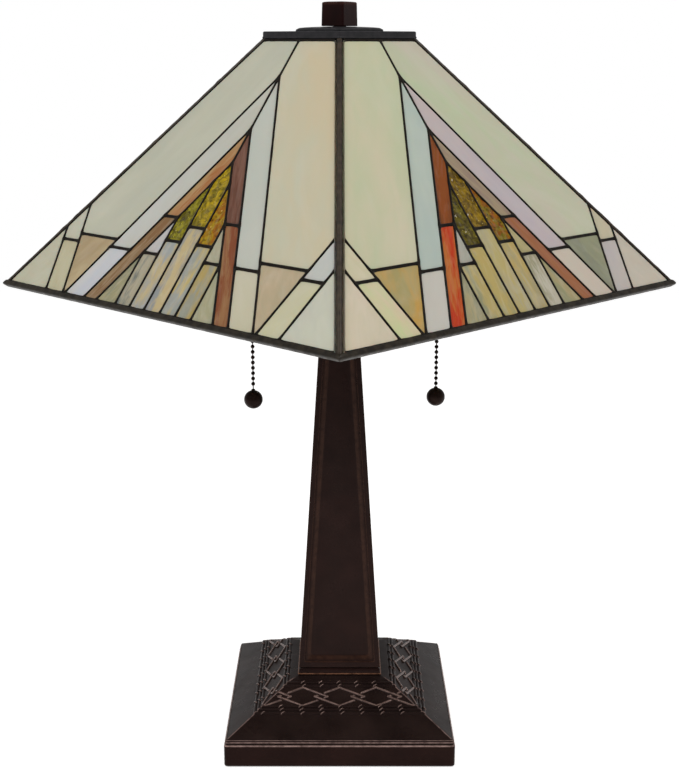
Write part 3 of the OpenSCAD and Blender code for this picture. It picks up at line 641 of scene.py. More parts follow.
def glass_piece(kind, k, material):
    """All the panes of one kind on one face, each a slab with a slightly uneven surface and its own tints."""
    step, wave, wave_length, painted_edge_highlight = GLASS[kind]
    matrix = face_matrix(k)
    verts, faces, colours, grain = [], [], ([], []), []
    for number, (outline, role, side) in enumerate(named_panes(kind, k)):
        points, inner, rim = pane_surface(outline, step * MM)
        first, count = len(verts), len(points)
        edges = [outline[i] - outline[i - 1] for i in range(len(outline))]
        along = max(edges, key=lambda e: e.length).normalized()
        shift = Vector((number * 0.37 + k * 1.3, number * 0.61))
        for sign in (1, -1):
            for p in points:
                spot = Vector((p.x + shift.x, p.y + shift.y, sign * 0.5))
                lift = lumps(spot, wave_length * MM) * wave * MM
                verts.append(matrix @ Vector((p.x, p.y, sign * (GLASS_T / 2 + lift))))
                grain.append((p.dot(along) + shift.x, along.cross(p) + shift.y))
        faces += [[first + i for i in f] for f in inner]
        faces += [[first + count + i for i in reversed(f)] for f in inner]
        faces += [(first + b, first + a, first + count + a, first + count + b) for a, b in rim]
        on_rim = {i for edge in rim for i in edge}
        for layer, tint in zip(colours, tints(role, k, side)):
            # A pane's rim points get brighter tints: a painted highlight along its edges, strong on the gold glass.
            lit = tuple(c * painted_edge_highlight for c in tint)
            layer += [lit if i in on_rim else tint for i in range(count)] * 2
    name = f"{kind}_panes_{k}"
    mesh = bpy.data.meshes.new(name)
    mesh.from_pydata(verts, [], faces)
    mesh.materials.append(material)
    for key, layer in zip(("tint_a", "tint_b"), colours):
        attribute = mesh.color_attributes.new(key, "FLOAT_COLOR", "POINT")
        attribute.data.foreach_set("color", [c for tint in layer for c in tint])
    uv = mesh.uv_layers.new(name="grain")
    for loop in mesh.loops:
        uv.data[loop.index].uv = grain[loop.vertex_index]
    mesh.shade_smooth()
    mesh.set_sharp_from_angle(angle=math.radians(35))
    place(add_object(name, mesh), "shade", f"{kind}_glass", [f"{kind}_glass_{k}"])


def lumps(p, scale):
    return noise.noise(Vector(p) / scale)


def lead_reach(way):
    """How far a lead reaches over its pane: level bars are wide, most so over the pane below them, and the
    leads beside the corner ribs narrow."""
    if abs(way.y) < 0.05:
        return -BAR_HALF_W if way.x < 0 else -FOOT_BAR_HALF_W
    return -CORNER_LEAD_HALF_W if abs(abs(way.normalized().x) - CORNER_LEAN) < 0.02 else -LEAD_HALF_W


def leading_piece(k, material):
    """The soldered leading of one face: a bead round every pane, outside and in, with blobs at joints."""
    matrix = face_matrix(k)
    rings = [grown(outline, lambda way: HEART_HALF)
             for kind in ROLE_ORDER for outline, _ in outlines(f"{kind}_glass_{k}", matrix)]
    joints = [p for ring in rings for p in ring]
    profile = (0.0, 0.3, 0.58, 0.8, 0.94, 1.0)
    shape = Shape()
    for ring in rings:
        inner = grown(ring, lead_reach)
        samples = []
        for i, start in enumerate(ring):
            end, n = ring[(i + 1) % len(ring)], len(ring)
            steps = max(2, round((end - start).length / (2.4 * MM)))
            for j in range(steps):
                t = j / steps
                samples.append((start.lerp(end, t), inner[i].lerp(inner[(i + 1) % n], t)))
        sides = []
        for sign in (1, -1):
            rows = []
            for share in profile:
                row = []
                for centre, edge in samples:
                    near = min((centre - q).length for q in joints)
                    blob = math.exp(-(near / (2.2 * MM)) ** 2)
                    width = 1 + 0.12 * lumps((centre.x, centre.y, sign), 5 * MM) + 0.3 * blob
                    spot = centre.lerp(edge, share * width)
                    swell = 0.12 * lumps((spot.x, spot.y, sign), 3 * MM) + 0.3 * blob
                    crest = LEAD_HALF_T - GLASS_T / 2 + swell * MM
                    height = GLASS_T / 2 - 0.06 * MM + crest * math.sqrt(1 - share * share)
                    row.append(matrix @ Vector((spot.x, spot.y, sign * height)))
                rows.append(row)
            sides.append(rows)
        shape.grid(sides[0] + sides[1][::-1], around=True)
    shape.piece(f"soldered_leads_{k}", material, "shade", "patina", [f"leading_{k}"], 70)


def shade_profile(v, w):
    """Half side and height of a point given up the slope and outwards from the glass mid-plane."""
    half = SHADE_HALF - v * math.cos(FACE_TILT) + w * math.sin(FACE_TILT)
    return half, SHADE_Z + v * math.sin(FACE_TILT) + w * math.cos(FACE_TILT)


def rim_piece(material):
    """The channel that closes the lower edge, lumpy with solder."""
    corners = [(-1.2, -2.6, 1.6), (-1.2, 2.6, 1.6), (2.8, 2.5, 1.2), (2.8, -2.5, 1.2)]
    shape, rows = Shape(), []
    for v, w in fillet(corners, closed=True, steps=4):
        half, z = shade_profile(v * MM, w * MM)
        ring = square_ring(half, z, 0.6 * MM, 90, 2, math.radians(45))
        rows.append([p + p.normalized() * 0.1 * MM * lumps(p, 6 * MM) for p in ring])
    shape.grid(rows, around=True, loop=True)
    shape.piece("shade_edge_channel", material, "shade", "patina", ["shade_rim"], 60)


def corner_ribs_piece(material):
    """Four solder ribs along the shade's corners, with drips and blobs where lead lines meet them."""
    foot = Vector((SHADE_HALF * math.sqrt(2), 0, SHADE_Z))
    axis = Vector((SHADE_TOP_HALF * math.sqrt(2), 0, SHADE_TOP_Z)) - foot
    along, across = axis.normalized(), Vector((0, 1, 0))
    out = across.cross(along)
    blobs = (56, 70, 76, 96, 150, 214)
    shape, steps = Shape(), 130
    for k in range(4):
        turn = Matrix.Rotation(math.pi / 2 * k, 3, "Z")
        rows = []
        for i in range(steps + 1):
            s = RIB_START + (axis.length - RIB_SHORT) * i / steps
            centre = foot + along * s
            swell = sum(math.exp(-((s / MM - b - 2 * k) / 2.6) ** 2) for b in blobs)
            row = []
            for a in round_angles(16):
                way = across * math.cos(a) * 0.7 + out * math.sin(a) * (0.72 if math.sin(a) > 0 else 0.9)
                p = centre + way * RIB_R
                wander = 0.07 * lumps(p + Vector((k, 0, 0)), 4 * MM) + 0.05 * lumps(p, 1.6 * MM)
                row.append(turn @ (centre + way * RIB_R * (1 + wander + 0.13 * swell)))
            rows.append(row)
        shape.tube(rows)
    shape.piece("corner_solder_ribs", material, "shade", "patina", ["corner_ribs"], 80)


def crown_piece(material):
    """The crown: a square plate with a skirt that holds the tops of the four faces."""
    skirt = [shade_profile(SLOPE_L + v * MM, w * MM) for v, w in ((-2.6, 2.5), (-2.6, -2.5), (-1, -2.5))]
    lip, plate, top = 39 * MM, SHADE_TOP_Z, SHADE_TOP_Z + 4 * MM
    corners = [(17 * MM, top, 0.6 * MM), (17 * MM, plate, 0.6 * MM), (skirt[2][0], plate, 0),
               (*skirt[2], 0), (*skirt[1], 0.5 * MM), (*skirt[0], 0.8 * MM),
               (lip, plate + 0.4 * MM, 2 * MM), (lip, top, 1.1 * MM)]
    shape = Shape()
    square_turned(shape, fillet(corners, closed=True), 1.6 * MM, 10, math.radians(45))
    shape.piece("crown_plate", material, "shade", "patina", ["crown"])


def vase_cap_piece(material):
    low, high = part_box("vase_cap")
    half, z, top = VASE_CAP_HALF, low.z, high.z
    corners = [(3.9 * MM, top - 0.3 * MM, 0.3 * MM), (3.9 * MM, z, 0.2 * MM), (half, z, 0.3 * MM),
               (half, z + 1.2 * MM, 0.9 * MM), (half - 1.8 * MM, z + 2.4 * MM, 1.6 * MM),
               (half - 5 * MM, z + 2.8 * MM, 2 * MM), (9.5 * MM, top, 0.6 * MM)]
    shape = Shape()
    square_turned(shape, fillet(corners, closed=True), 5.1 * MM, 6, math.radians(45))
    shape.piece("vase_cap_plate", material, "shade", "patina", ["vase_cap"])


def finial_piece(material):
    """A plain square block with soft edges and a slightly crowned top."""
    low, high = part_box("finial")
    half, z, top = FINIAL_HALF, low.z, high.z
    corners = [(4.65 * MM, z, 0.2 * MM), (half, z, 0.5 * MM), (half - 0.3 * MM, top - 3 * MM, 0),
               (half - 0.35 * MM, top - 0.5 * MM, 1.1 * MM),
               (half - 3 * MM, top - 0.1 * MM, 3 * MM), (0.5 * MM, top, 0)]
    outline = [(4.65 * MM, z + 11 * MM)] + [tuple(p) for p in fillet(corners)]
    shape = Shape()
    square_turned(shape, outline, 1.0 * MM, 12, math.radians(FINIAL_TURN), closed=False,
                  wear_and_highlight=lambda p: 0.3 if p.z > top - 1.6 * MM else 0.0)
    shape.piece("finial_block", material, "finial", "finial_bronze", ["finial"])


# ---------- base and column ----------

# Base and column sizes in mm. The slope runs between two (half side, height) points.
BASE_HALF, FOOT_TOP = 86.0, 17.5
SLOPE_LOW, SLOPE_HIGH = (83.5, 22.2), (38.0, 47.5)
BASE_TILT = math.atan2(SLOPE_HIGH[1] - SLOPE_LOW[1], SLOPE_LOW[0] - SLOPE_HIGH[0])
OUTER_RIDGES, INNER_RIDGES = (64.0, 61.3, 58.8), (42.6, 40.0)
BAND_MIDDLE, DIAMOND_PITCH = 51.2, 28.0
DIAMOND_A, DIAMOND_B = 18.8, 8.2
DIP_DEPTH, DIP_REACH = 1.35, 3.0
# Tie radius in mm, and how much lighter the relief's crests are painted: wear with a painted highlight.
TIE_R, CREST_WEAR_AND_HIGHLIGHT = 0.6, 0.55


def slope_z(half):
    share = (SLOPE_LOW[0] - half) / (SLOPE_LOW[0] - SLOPE_HIGH[0])
    return SLOPE_LOW[1] + (SLOPE_HIGH[1] - SLOPE_LOW[1]) * share


def ridge_profile(half, width=1.15, height=1.0):
    """A rounded ridge across the slope, as corners from its outer foot to its inner one."""
    points = []
    for i in range(7):
        s, up = width * math.cos(math.pi * i / 6), height * math.sin(math.pi * i / 6)
        points.append((half + s * math.cos(BASE_TILT) + up * math.sin(BASE_TILT),
                       slope_z(half) - s * math.sin(BASE_TILT) + up * math.cos(BASE_TILT), 0))
    return points


def on_slope(side, along, across, lift):
    """A point on one side's slope, in mm along the side, up the slope from the band's middle and off it."""
    half = BAND_MIDDLE - across * math.cos(BASE_TILT) + lift * math.sin(BASE_TILT)
    z = slope_z(BAND_MIDDLE) + across * math.sin(BASE_TILT) + lift * math.cos(BASE_TILT)
    return Matrix.Rotation(math.pi / 2 * side, 3, "Z") @ Vector((along, -half, z)) * MM


def slope_bar(shape, side, points, section):
    """A bar through (along, across, lift) points on the slope, with a section of (sideways, up) points in mm."""
    rows = []
    for i, (along, across, lift) in enumerate(points):
        before, after = points[max(0, i - 1)], points[min(len(points) - 1, i + 1)]
        way = Vector((after[0] - before[0], after[1] - before[1])).normalized()
        rows.append([on_slope(side, along - way.y * a, across + way.x * a, lift + b) for a, b in section])
    first, crest = len(shape.verts), max(b for _, b in section)
    shape.tube(rows)
    # Crests are painted lighter: wear, with a painted highlight on the crests.
    shape.wear_and_highlight[first:] = [CREST_WEAR_AND_HIGHLIGHT * max(0.0, b / crest) ** 3 for _ in rows for _, b in section]


def dip(along, across, centre):
    """How deep a diamond's line dives where its neighbour's line passes over it."""
    depth = 0.0
    crossing = DIAMOND_PITCH / 2
    height = DIAMOND_B * (1 - crossing / DIAMOND_A)
    for way in (-1, 1):
        spot = Vector((centre + way * crossing, -way * height))
        distance = (Vector((along, across)) - spot).length
        depth = max(depth, DIP_DEPTH * max(0.0, 1 - (distance / DIP_REACH) ** 4))
    return depth


def diamond(shape, side, centre):
    """One interlaced diamond, or what the mitres leave of it."""
    corners = [(-1, 0), (0, 1), (1, 0), (0, -1)]
    section = [(-1.15, -0.9), (-1.0, 0.35), (-0.6, 0.85), (0, 1.0), (0.6, 0.85), (1.0, 0.35), (1.15, -0.9)]
    for (x0, y0), (x1, y1) in zip(corners, corners[1:] + corners[:1]):
        points = []
        for i in range(-1, 30):
            t = i / 28
            along = centre + DIAMOND_A * (x0 + (x1 - x0) * t)
            across = DIAMOND_B * (y0 + (y1 - y0) * t)
            if abs(along) < BAND_MIDDLE - across * math.cos(BASE_TILT) - 0.4:
                points.append((along, across, -dip(along, across, centre)))
        if len(points) > 2:
            slope_bar(shape, side, points, section)


def ridge_ties(shape, side, half, pitch, first, slant=1.5):
    """Small slanting cords wound over a ridge."""
    across = (BAND_MIDDLE - half) / math.cos(BASE_TILT)
    section = [(TIE_R * math.cos(a), TIE_R * math.sin(a)) for a in round_angles(8)]
    count = int(half // pitch) + 1
    for i in range(-count, count + 1):
        centre = first + i * pitch
        if abs(centre) < half - 3.5:
            points = []
            for j in range(9):
                a = math.pi * (j / 8 * 1.1 - 0.05)
                points.append((centre - slant * math.cos(a), across - 1.25 * math.cos(a), 1.1 * math.sin(a)))
            slope_bar(shape, side, points, section)


def base_casting(material, relief):
    """The base: foot, moulded lip, slope with bound ridges and a chain of interlaced diamonds, hollow below."""
    corners = [(BASE_HALF, 0.8, 1.4), (BASE_HALF, 3.5, 0), (BASE_HALF, FOOT_TOP - 1.6, 0),
               (BASE_HALF, FOOT_TOP, 0.9), (84.6, 18.3, 0.3), (84.9, 18.9, 0.3), (85.4, 19.2, 0.4),
               (85.2, 20.2, 0.5), (84.2, 20.5, 0.3), (84.3, 20.9, 0.3), (84.7, 21.4, 0.4),
               (84.0, 21.9, 0.4), (83.4, 21.75, 0.2), (*SLOPE_LOW, 0.3)]
    for half in OUTER_RIDGES + INNER_RIDGES:
        corners += ridge_profile(half)
    corners += [(*SLOPE_HIGH, 0.6), (33.4, 48.5, 0), (5.2, 48.5, 0), (5.2, 43.6, 0), (38, 43.6, 1),
                (81.6, 18, 1), (81.6, 3, 0), (83.05, 3, 0), (83.05, 0.8, 0.2)]
    outline = [p * MM for p in fillet(corners, closed=True, steps=4)]
    shape = Shape()
    # The lips and mitres are painted lighter: partly edge wear, partly painted highlights along the edges.
    lips = ((FOOT_TOP, 0.5, 0.5), (20.1, 0.25, 0.35), (21.4, 0.2, 0.3))

    def wear_and_highlight(p):
        wear_and_highlight_amount = max([amount for z, reach, amount in lips if abs(p.z / MM - z) < reach], default=0.0)
        mitre = abs(abs(p.x) - abs(p.y)) < 0.8 * MM and 22 * MM < p.z < 48 * MM
        return max(wear_and_highlight_amount, 0.3 if mitre else 0.0)

    square_turned(shape, outline, lambda z: (2.4 if z < 19 * MM else 0.9) * MM, 12, wear_and_highlight=wear_and_highlight)
    casting = shape.piece("base_casting", material, "lamp_stand", "bronze_base", ["base_shell"], 50)
    drill_inlet(casting)
    ornament = Shape()
    for side in range(4):
        for i in range(-2, 3):
            diamond(ornament, side, i * DIAMOND_PITCH)
        for row, half in enumerate(OUTER_RIDGES):
            ridge_ties(ornament, side, half, 15.05, 2.4 - 0.9 * row)
        for row, half in enumerate(INNER_RIDGES):
            ridge_ties(ornament, side, half, 13.6, -0.9 * row)
    ornament.piece("base_relief", relief, "lamp_stand", "bronze_base", smooth_angle=50)


def drill_inlet(casting):
    """Opens the rear wall of the foot for the cord bushing."""
    low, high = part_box("cord_bushing")
    shape = Shape()
    middle, radius = (low.z + high.z) / 2, 5.55 * MM
    shape.tube([[Vector((radius * math.cos(a), y, middle + radius * math.sin(a))) for a in round_angles(32)]
                for y in (76 * MM, 90 * MM)])
    cutter_mesh = bpy.data.meshes.new("inlet_cutter")
    cutter_mesh.from_pydata(shape.verts, [], shape.faces)
    cutter = add_object("inlet_cutter", cutter_mesh)
    cut = casting.modifiers.new("inlet", "BOOLEAN")
    cut.operation, cut.solver, cut.object = "DIFFERENCE", "EXACT", cutter
    applied = bpy.data.meshes.new_from_object(casting.evaluated_get(bpy.context.evaluated_depsgraph_get()))
    casting.modifiers.clear()
    casting.data = applied
    bpy.data.objects.remove(cutter)


COLUMN_FOOT_HALF, COLUMN_TOP_HALF = 31.6, 13.8
COLUMN_FOOT_Z, COLUMN_TOP_Z = 48.5, 330.0
FRAME_W, BEVEL_W, RECESS_D = 4.0, 4.6, 2.4


def column_half(z):
    share = (z - COLUMN_FOOT_Z) / (COLUMN_TOP_Z - COLUMN_FOOT_Z)
    return COLUMN_FOOT_HALF + (COLUMN_TOP_HALF - COLUMN_FOOT_HALF) * share


def panel_loop(gap, low, high, corner, steps):
    """A rounded trapezoid on one side of the column, as (along, height) points, gap inside the column's edge."""
    corners = [(-column_half(low) + gap, low, corner), (column_half(low) - gap, low, corner),
               (column_half(high) - gap, high, corner), (-column_half(high) + gap, high, corner)]
    arc = 6
    loop = fillet(corners, closed=True, steps=arc)
    out = []
    for i, p in enumerate(loop):
        count = steps if i % (arc + 1) == arc else 1
        out += [p.lerp(loop[(i + 1) % len(loop)], j / count) for j in range(count)]
    return out


def column_piece(material):
    """The tapered column with a framed, recessed panel on each side, and its plinth."""
    low, high, rail, head_rail = 55.2, COLUMN_TOP_Z, 59.5, COLUMN_TOP_Z - 9
    panel = FRAME_W + BEVEL_W
    # Loops from a side's edge to its panel: distance in, corner radius, depth and wear, the wear partly a painted
    # highlight along the frame and bevel.
    steps = [(0.0, 0.01, 0.0, 0.12), (0.9, 0.01, 0.0, 0.0), (FRAME_W - 0.5, 1.2, 0.0, 0.0),
             (FRAME_W, 1.4, 0.12, 0.25), (FRAME_W + 0.25, 1.6, 1.05, 0.0), (FRAME_W + 1.1, 2.0, 1.15, 0.05),
             (FRAME_W + 2.4, 2.4, 1.5, 0.15), (panel - 0.7, 2.9, RECESS_D - 0.25, 0.15),
             (panel, 3.2, RECESS_D, 0.0), (panel + 1.2, 3.0, RECESS_D - 0.05, 0.0)]
    shape = Shape()
    for side in range(4):
        turn = Matrix.Rotation(math.pi / 2 * side, 3, "Z")
        rows = []
        for gap, corner, depth, _ in steps:
            z0, z1 = low + gap * 0.7, high - gap * 0.7
            if gap >= 2:
                z0, z1 = rail - FRAME_W + gap, head_rail + FRAME_W - gap
            ring = panel_loop(gap, z0, z1, corner, 8)
            rows.append([turn @ Vector((x, -column_half(z) + depth, z)) * MM for x, z in ring])
        first, count = shape.grid(rows, around=True), len(rows[0])
        shape.cap(first + (len(rows) - 1) * count, count)
        shape.wear_and_highlight[first:] = [step[3] for step in steps for _ in range(count)]
    skin, under = RECESS_D + 3, COLUMN_TOP_Z - 8
    foot_half = column_half(low)
    plinth = [(31.2, COLUMN_FOOT_Z), (31.3, 49.3), (31.9, 49.35), (32.2, 49.6), (32.2, 49.9), (31.9, 50.2),
              (31.2, 50.3), (30.9, 53.4), (30.6, 53.9), (29.8, 54.0), (29.7, 54.6), (foot_half - 0.6, 54.65),
              (foot_half, low)]
    inside = [(COLUMN_TOP_HALF, COLUMN_TOP_Z), (4.9, COLUMN_TOP_Z), (4.9, under),
              (column_half(under) - skin, under), (COLUMN_FOOT_HALF - skin, COLUMN_FOOT_Z)]

    # The plinth's bead is painted as a bright copper line: a painted highlight.
    def painted_bead_highlight(p):
        return 1.0 if 49.32 * MM < p.z < 50.25 * MM and max(abs(p.x), abs(p.y)) > 31.5 * MM else 0.0

    square_turned(shape, [Vector(p) * MM for p in inside + plinth], 0.01 * MM, 8, closed=False, wear_and_highlight=painted_bead_highlight)
    column = shape.piece("panelled_column", material, "lamp_stand", "bronze_column", ["column"], 50)
    soften(column, 0.5 * MM)


def soften(obj, width):
    """Slightly rounded edges."""
    bevel = obj.modifiers.new("soft_edges", "BEVEL")
    bevel.width, bevel.segments, bevel.limit_method = width, 2, "ANGLE"
    bevel.angle_limit = math.radians(50)


def kept_node(name, material, width):
    """A CAD node that stays, with its own material."""
    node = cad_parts[name]
    node.data.materials.clear()
    node.data.materials.append(material)
    weld = node.modifiers.new("weld", "WELD")
    weld.merge_threshold = 0.001 * MM
    if width:
        soften(node, width)
    node.data.polygons.foreach_set("use_smooth", [False] * len(node.data.polygons))


# ---------- sockets, bulbs, chains ----------

def socket_pieces(side, brass, bright, insulator):
    """Lamp socket: ribbed shell with a rolled lip, spun cap, moulded core."""
    low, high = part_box(f"socket_shell_{side}")
    foot, top = low.z / MM, high.z / MM
    corners = [(15.8, foot, 0), (16.6, foot, 0)]
    for i in range(4):
        z = foot + 3 + i * 2.2
        corners += [(16.6, z, 0.3), (16.15, z + 0.6, 0.3), (16.15, z + 1.2, 0.3), (16.6, z + 1.8, 0.3)]
    corners += [(16.3, foot + 13, 0.4), (16.3, top - 2.2, 0.6), (16.6, top - 1.2, 0.8), (16.3, top, 0.4),
                (15.85, top, 0.2)]
    turned_piece(f"socket_shell_spun_{side}", f"socket_shell_{side}", corners, 56, bright, "bright_brass")

    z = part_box(f"socket_cap_{side}")[0].z / MM
    corners = [(2.6, z, 0.2), (7.4, z, 0.6), (8, z + 1, 0.6), (8.2, z + 2, 0.6), (12.5, z + 3, 2),
               (16.4, z + 7, 3), (17.1, z + 9, 0.6), (17.5, z + 9.8, 0.5), (17.5, z + 11.6, 0.4),
               (15.8, z + 12, 0.2), (2.6, z + 5, 0.2)]
    turned_piece(f"socket_cap_spun_{side}", f"socket_cap_{side}", corners, 56, brass, "antique_brass", steps=4)

    low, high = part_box(f"socket_core_{side}")
    z, top = low.z / MM, high.z / MM
    corners = [(0.01, z, 0), (15.6, z, 0.4), (15.6, top - 0.6, 0.5), (14.9, top, 0.5), (13.6, top, 0.4),
               (13.3, top - 0.6, 0), (13.3, z + 14, 0), (0.01, z + 14, 0)]
    turned_piece(f"socket_core_moulded_{side}", f"socket_core_{side}", corners, 48, insulator, "insulator",
                 closed=False)


def bulb_pieces(side, glass, metal):
    """A round frosted bulb, and its screw base with a rolled thread."""
    low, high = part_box(f"bulb_{side}")
    centre = axis_of(f"bulb_{side}")
    radius = (high.x - low.x) / 2
    middle = high.z - radius
    neck, start = 11.9 * MM, math.radians(38)
    outline = [(neck, low.z), (neck, low.z + 1.5 * MM)]
    shoulder = Vector((radius * math.sin(start), middle - radius * math.cos(start)))
    pull = Vector((neck, low.z + 5 * MM))
    for i in range(1, 7):
        t = i / 7
        outline.append(tuple(Vector(outline[1]) * (1 - t) ** 2 + pull * 2 * t * (1 - t) + shoulder * t * t))
    outline += [(radius * math.sin(a), middle - radius * math.cos(a))
                for a in [start + (math.pi - start) * i / 22 for i in range(23)]]
    shape = Shape()
    lathe(shape, centre, outline, 48)
    bulb = shape.piece(f"bulb_globe_{side}", glass, f"bulb_{side}", "bulb_glass", [f"bulb_{side}"], 80)
    wall = bulb.modifiers.new("wall", "SOLIDIFY")
    wall.thickness, wall.offset = 0.9 * MM, -1

    low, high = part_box(f"bulb_base_{side}")
    z, top = low.z / MM, high.z / MM
    outline = [(0.01, z), (4.6, z), (5.2, z + 0.6), (6.5, z + 1.2), (10.8, z + 3.4), (12.1, z + 4)]
    turns, pitch = 4, 3.0
    for i in range(turns * 6 + 1):
        outline.append((12.35 + 0.35 * math.sin(math.tau * i / 6), z + 4.4 + pitch * i / 6 * 0.95))
    outline += [(12.3, top - 0.6), (12.2, top), (0.01, top)]
    shape = Shape()
    lathe(shape, axis_of(f"bulb_base_{side}"), [(r * MM, h * MM) for r, h in outline], 48)
    shape.piece(f"bulb_screw_base_{side}", metal, f"bulb_{side}", "bulb_metal", [f"bulb_base_{side}"], 60)


def bell_piece(side, material):
    """The pull switch's arm and bell mouth."""
    socket, bell = axis_of(f"socket_shell_{side}"), chain_axis(side)
    low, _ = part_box(f"chain_bell_{side}")
    mouth = low.z / MM
    way = (bell - socket).to_2d().normalized().to_3d()
    across = Vector((-way.y, way.x, 0))
    shape = Shape()
    corners = [(2.5, mouth, 0.2), (4.9, mouth, 0.3), (5.2, mouth + 0.5, 0.3), (4.6, mouth + 2.2, 1),
               (4.3, mouth + 6, 2), (4.1, mouth + 8.5, 1.5), (2.6, mouth + 10.6, 1.5), (0.01, mouth + 11.2, 0)]
    outline = [(0.01, mouth + 6), (2.5, mouth + 6)] + [tuple(p) for p in fillet(corners, steps=4)]
    lathe(shape, bell, [(r * MM, z * MM) for r, z in outline], 32)
    up = Vector((0, 0, 1))
    start = socket.copy()
    start.z = (mouth + 7) * MM
    path = []
    for distance, radius in ((17.1, 4.2), (17.6, 4.4), (18.2, 3.1), (18.8, 2.8), (20, 2.8), (21, 3.0)):
        path.append([start + way * distance * MM + (across * math.cos(a) + up * math.sin(a)) * radius * MM
                     for a in round_angles(24)])
    shape.tube(path)
    shape.piece(f"switch_bell_{side}", material, "lamp_stand", "antique_brass", [f"chain_bell_{side}"], 50)


def chain_axis(side):
    return axis_of(f"pull_ball_{side}")


BEAD_R, BEAD_PITCH, LINK_R = 1.5 * MM, 4.05 * MM, 0.42 * MM


def bead_chain(name, centre, top, count, head, foot, material, body, replaced):
    """Ball chain: beads from top downwards, joined by short pins from head to foot."""
    shape = Shape()
    for i in range(count):
        ball(shape, (centre.x, centre.y, top - i * BEAD_PITCH), BEAD_R, 18)
    ends = [head] + [top - (i + 0.5) * BEAD_PITCH for i in range(count - 1)] + [foot]
    for high, low in zip(ends, ends[1:]):
        lathe(shape, centre, [(1e-6, low), (LINK_R, low), (LINK_R, high), (1e-6, high)], 10)
    shape.piece(name, material, body, "chain_bronze", [replaced], 60)


def chain_pieces(side, chain_metal, ball_paint):
    """The beads in the switch, the hanging chain, and the pull ball with a flat seam round its middle."""
    centre = chain_axis(side)
    low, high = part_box(f"switch_chain_{side}")
    bead_chain(f"switch_beads_{side}", centre, high.z - BEAD_R, 2, high.z - BEAD_R, low.z, chain_metal,
               f"switch_{side}", f"switch_chain_{side}")
    low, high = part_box(f"pull_chain_{side}")
    top = high.z + 0.2 * MM - BEAD_PITCH / 2
    count = int((top - low.z - BEAD_R) / BEAD_PITCH) + 1
    bead_chain(f"hanging_beads_{side}", centre, top, count, high.z, low.z, chain_metal,
               f"chain_{side}", f"pull_chain_{side}")
    low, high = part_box(f"pull_ball_{side}")
    radius, seam_half = 7 * MM, 0.2 * MM
    middle = low.z + radius
    start = math.asin(1.4 * MM / radius)
    outline = [(radius * math.sin(a), middle - radius * math.cos(a))
               for a in [(math.pi - start) * i / 26 for i in range(27)] if abs(radius * math.cos(a)) > seam_half]
    outline += [(r * MM, high.z - drop * MM) for r, drop in
                ((1.45, 0.7), (1.4, 0.3), (1.1, 0.05), (0.8, 0), (0.6, 0.6), (0.001, 0.6))]
    shape = Shape()
    lathe(shape, centre, outline, 40, wear_and_highlight=0.15)
    shape.piece(f"pull_knob_{side}", ball_paint, f"chain_{side}", "pull_ball", [f"pull_ball_{side}"], 50)


def riser_piece(material):
    """The threaded riser rod."""
    low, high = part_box("riser_rod")
    radius, thread, pitch = 4.85 * MM, 0.25 * MM, 1.4 * MM
    steps = int((high.z - low.z) / (pitch / 2))
    outline = [(1e-6, low.z), (radius - thread, low.z)]
    outline += [(radius - (thread if i % 2 else 0), low.z + (high.z - low.z) * (i + 0.5) / (steps + 1))
                for i in range(steps)]
    outline += [(radius - thread, high.z), (1e-6, high.z)]
    shape = Shape()
    lathe(shape, (low + high) / 2, outline, 28)
    shape.piece("riser_threaded_rod", material, "lamp_stand", "bright_brass", ["riser_rod"], 25)


def felt_piece(material):
    """The felt foot pad, slightly uneven below."""
    low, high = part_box("felt_pad")
    half = (high.x - low.x) / 2
    corners = [(0.001, low.z, 0), (half, low.z, 0.8 * MM), (half, high.z, 0.5 * MM), (0.001, high.z, 0)]
    shape, rows = Shape(), []
    for h, z in fillet(corners, steps=4):
        ring = square_ring(h, z, 3 * MM, 60)
        if z < 1 * MM:
            ring = [p + Vector((0, 0, 0.12 * MM * abs(lumps(p, 2 * MM)))) for p in ring]
        rows.append(ring)
    shape.grid(rows, around=True)
    count = len(rows[0])
    shape.cap(0, count, flip=True)
    shape.cap(len(shape.verts) - count, count)
    pad = shape.piece("felt_foot_pad", material, "lamp_stand", "felt", ["felt_pad"], 50)


def bushing_piece(material):
    """Moulded cord bushing: flange with a soft lip and a flared mouth."""
    low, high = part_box("cord_bushing")
    z = (low.z + high.z) / 2
    outer, inner = high.y / MM, low.y / MM
    corners = [(3.5, inner, 0), (5.5, inner, 0.4), (5.5, outer - 2, 0), (8, outer - 2, 0.2), (8, outer - 0.6, 0.9),
               (6.6, outer, 0.8), (4.4, outer, 0.8), (3.5, outer - 1, 0.6)]
    rows = [[Vector((r * math.cos(a) * MM, y * MM, z + r * math.sin(a) * MM)) for a in round_angles(40)]
            for r, y in fillet(corners, closed=True, steps=4)]
    shape = Shape()
    shape.grid(rows, around=True, loop=True)
    shape.piece("inlet_bushing", material, "lamp_stand", "black_plastic", ["cord_bushing"])


# For each kind of glass: its grid's step, its waves' height and length in mm, and how much brighter the panes'
# edges are painted, a painted highlight along the gold panes' edges.
GLASS = {
    "pale": (9, 0.05, 30, 1.0), "rib": (6, 0.05, 20, 1.0), "slat": (6, 0.05, 20, 1.0),
    "corner": (7, 0.05, 24, 1.0), "gold": (1.0, 0.5, 3.4, 2.6),
}


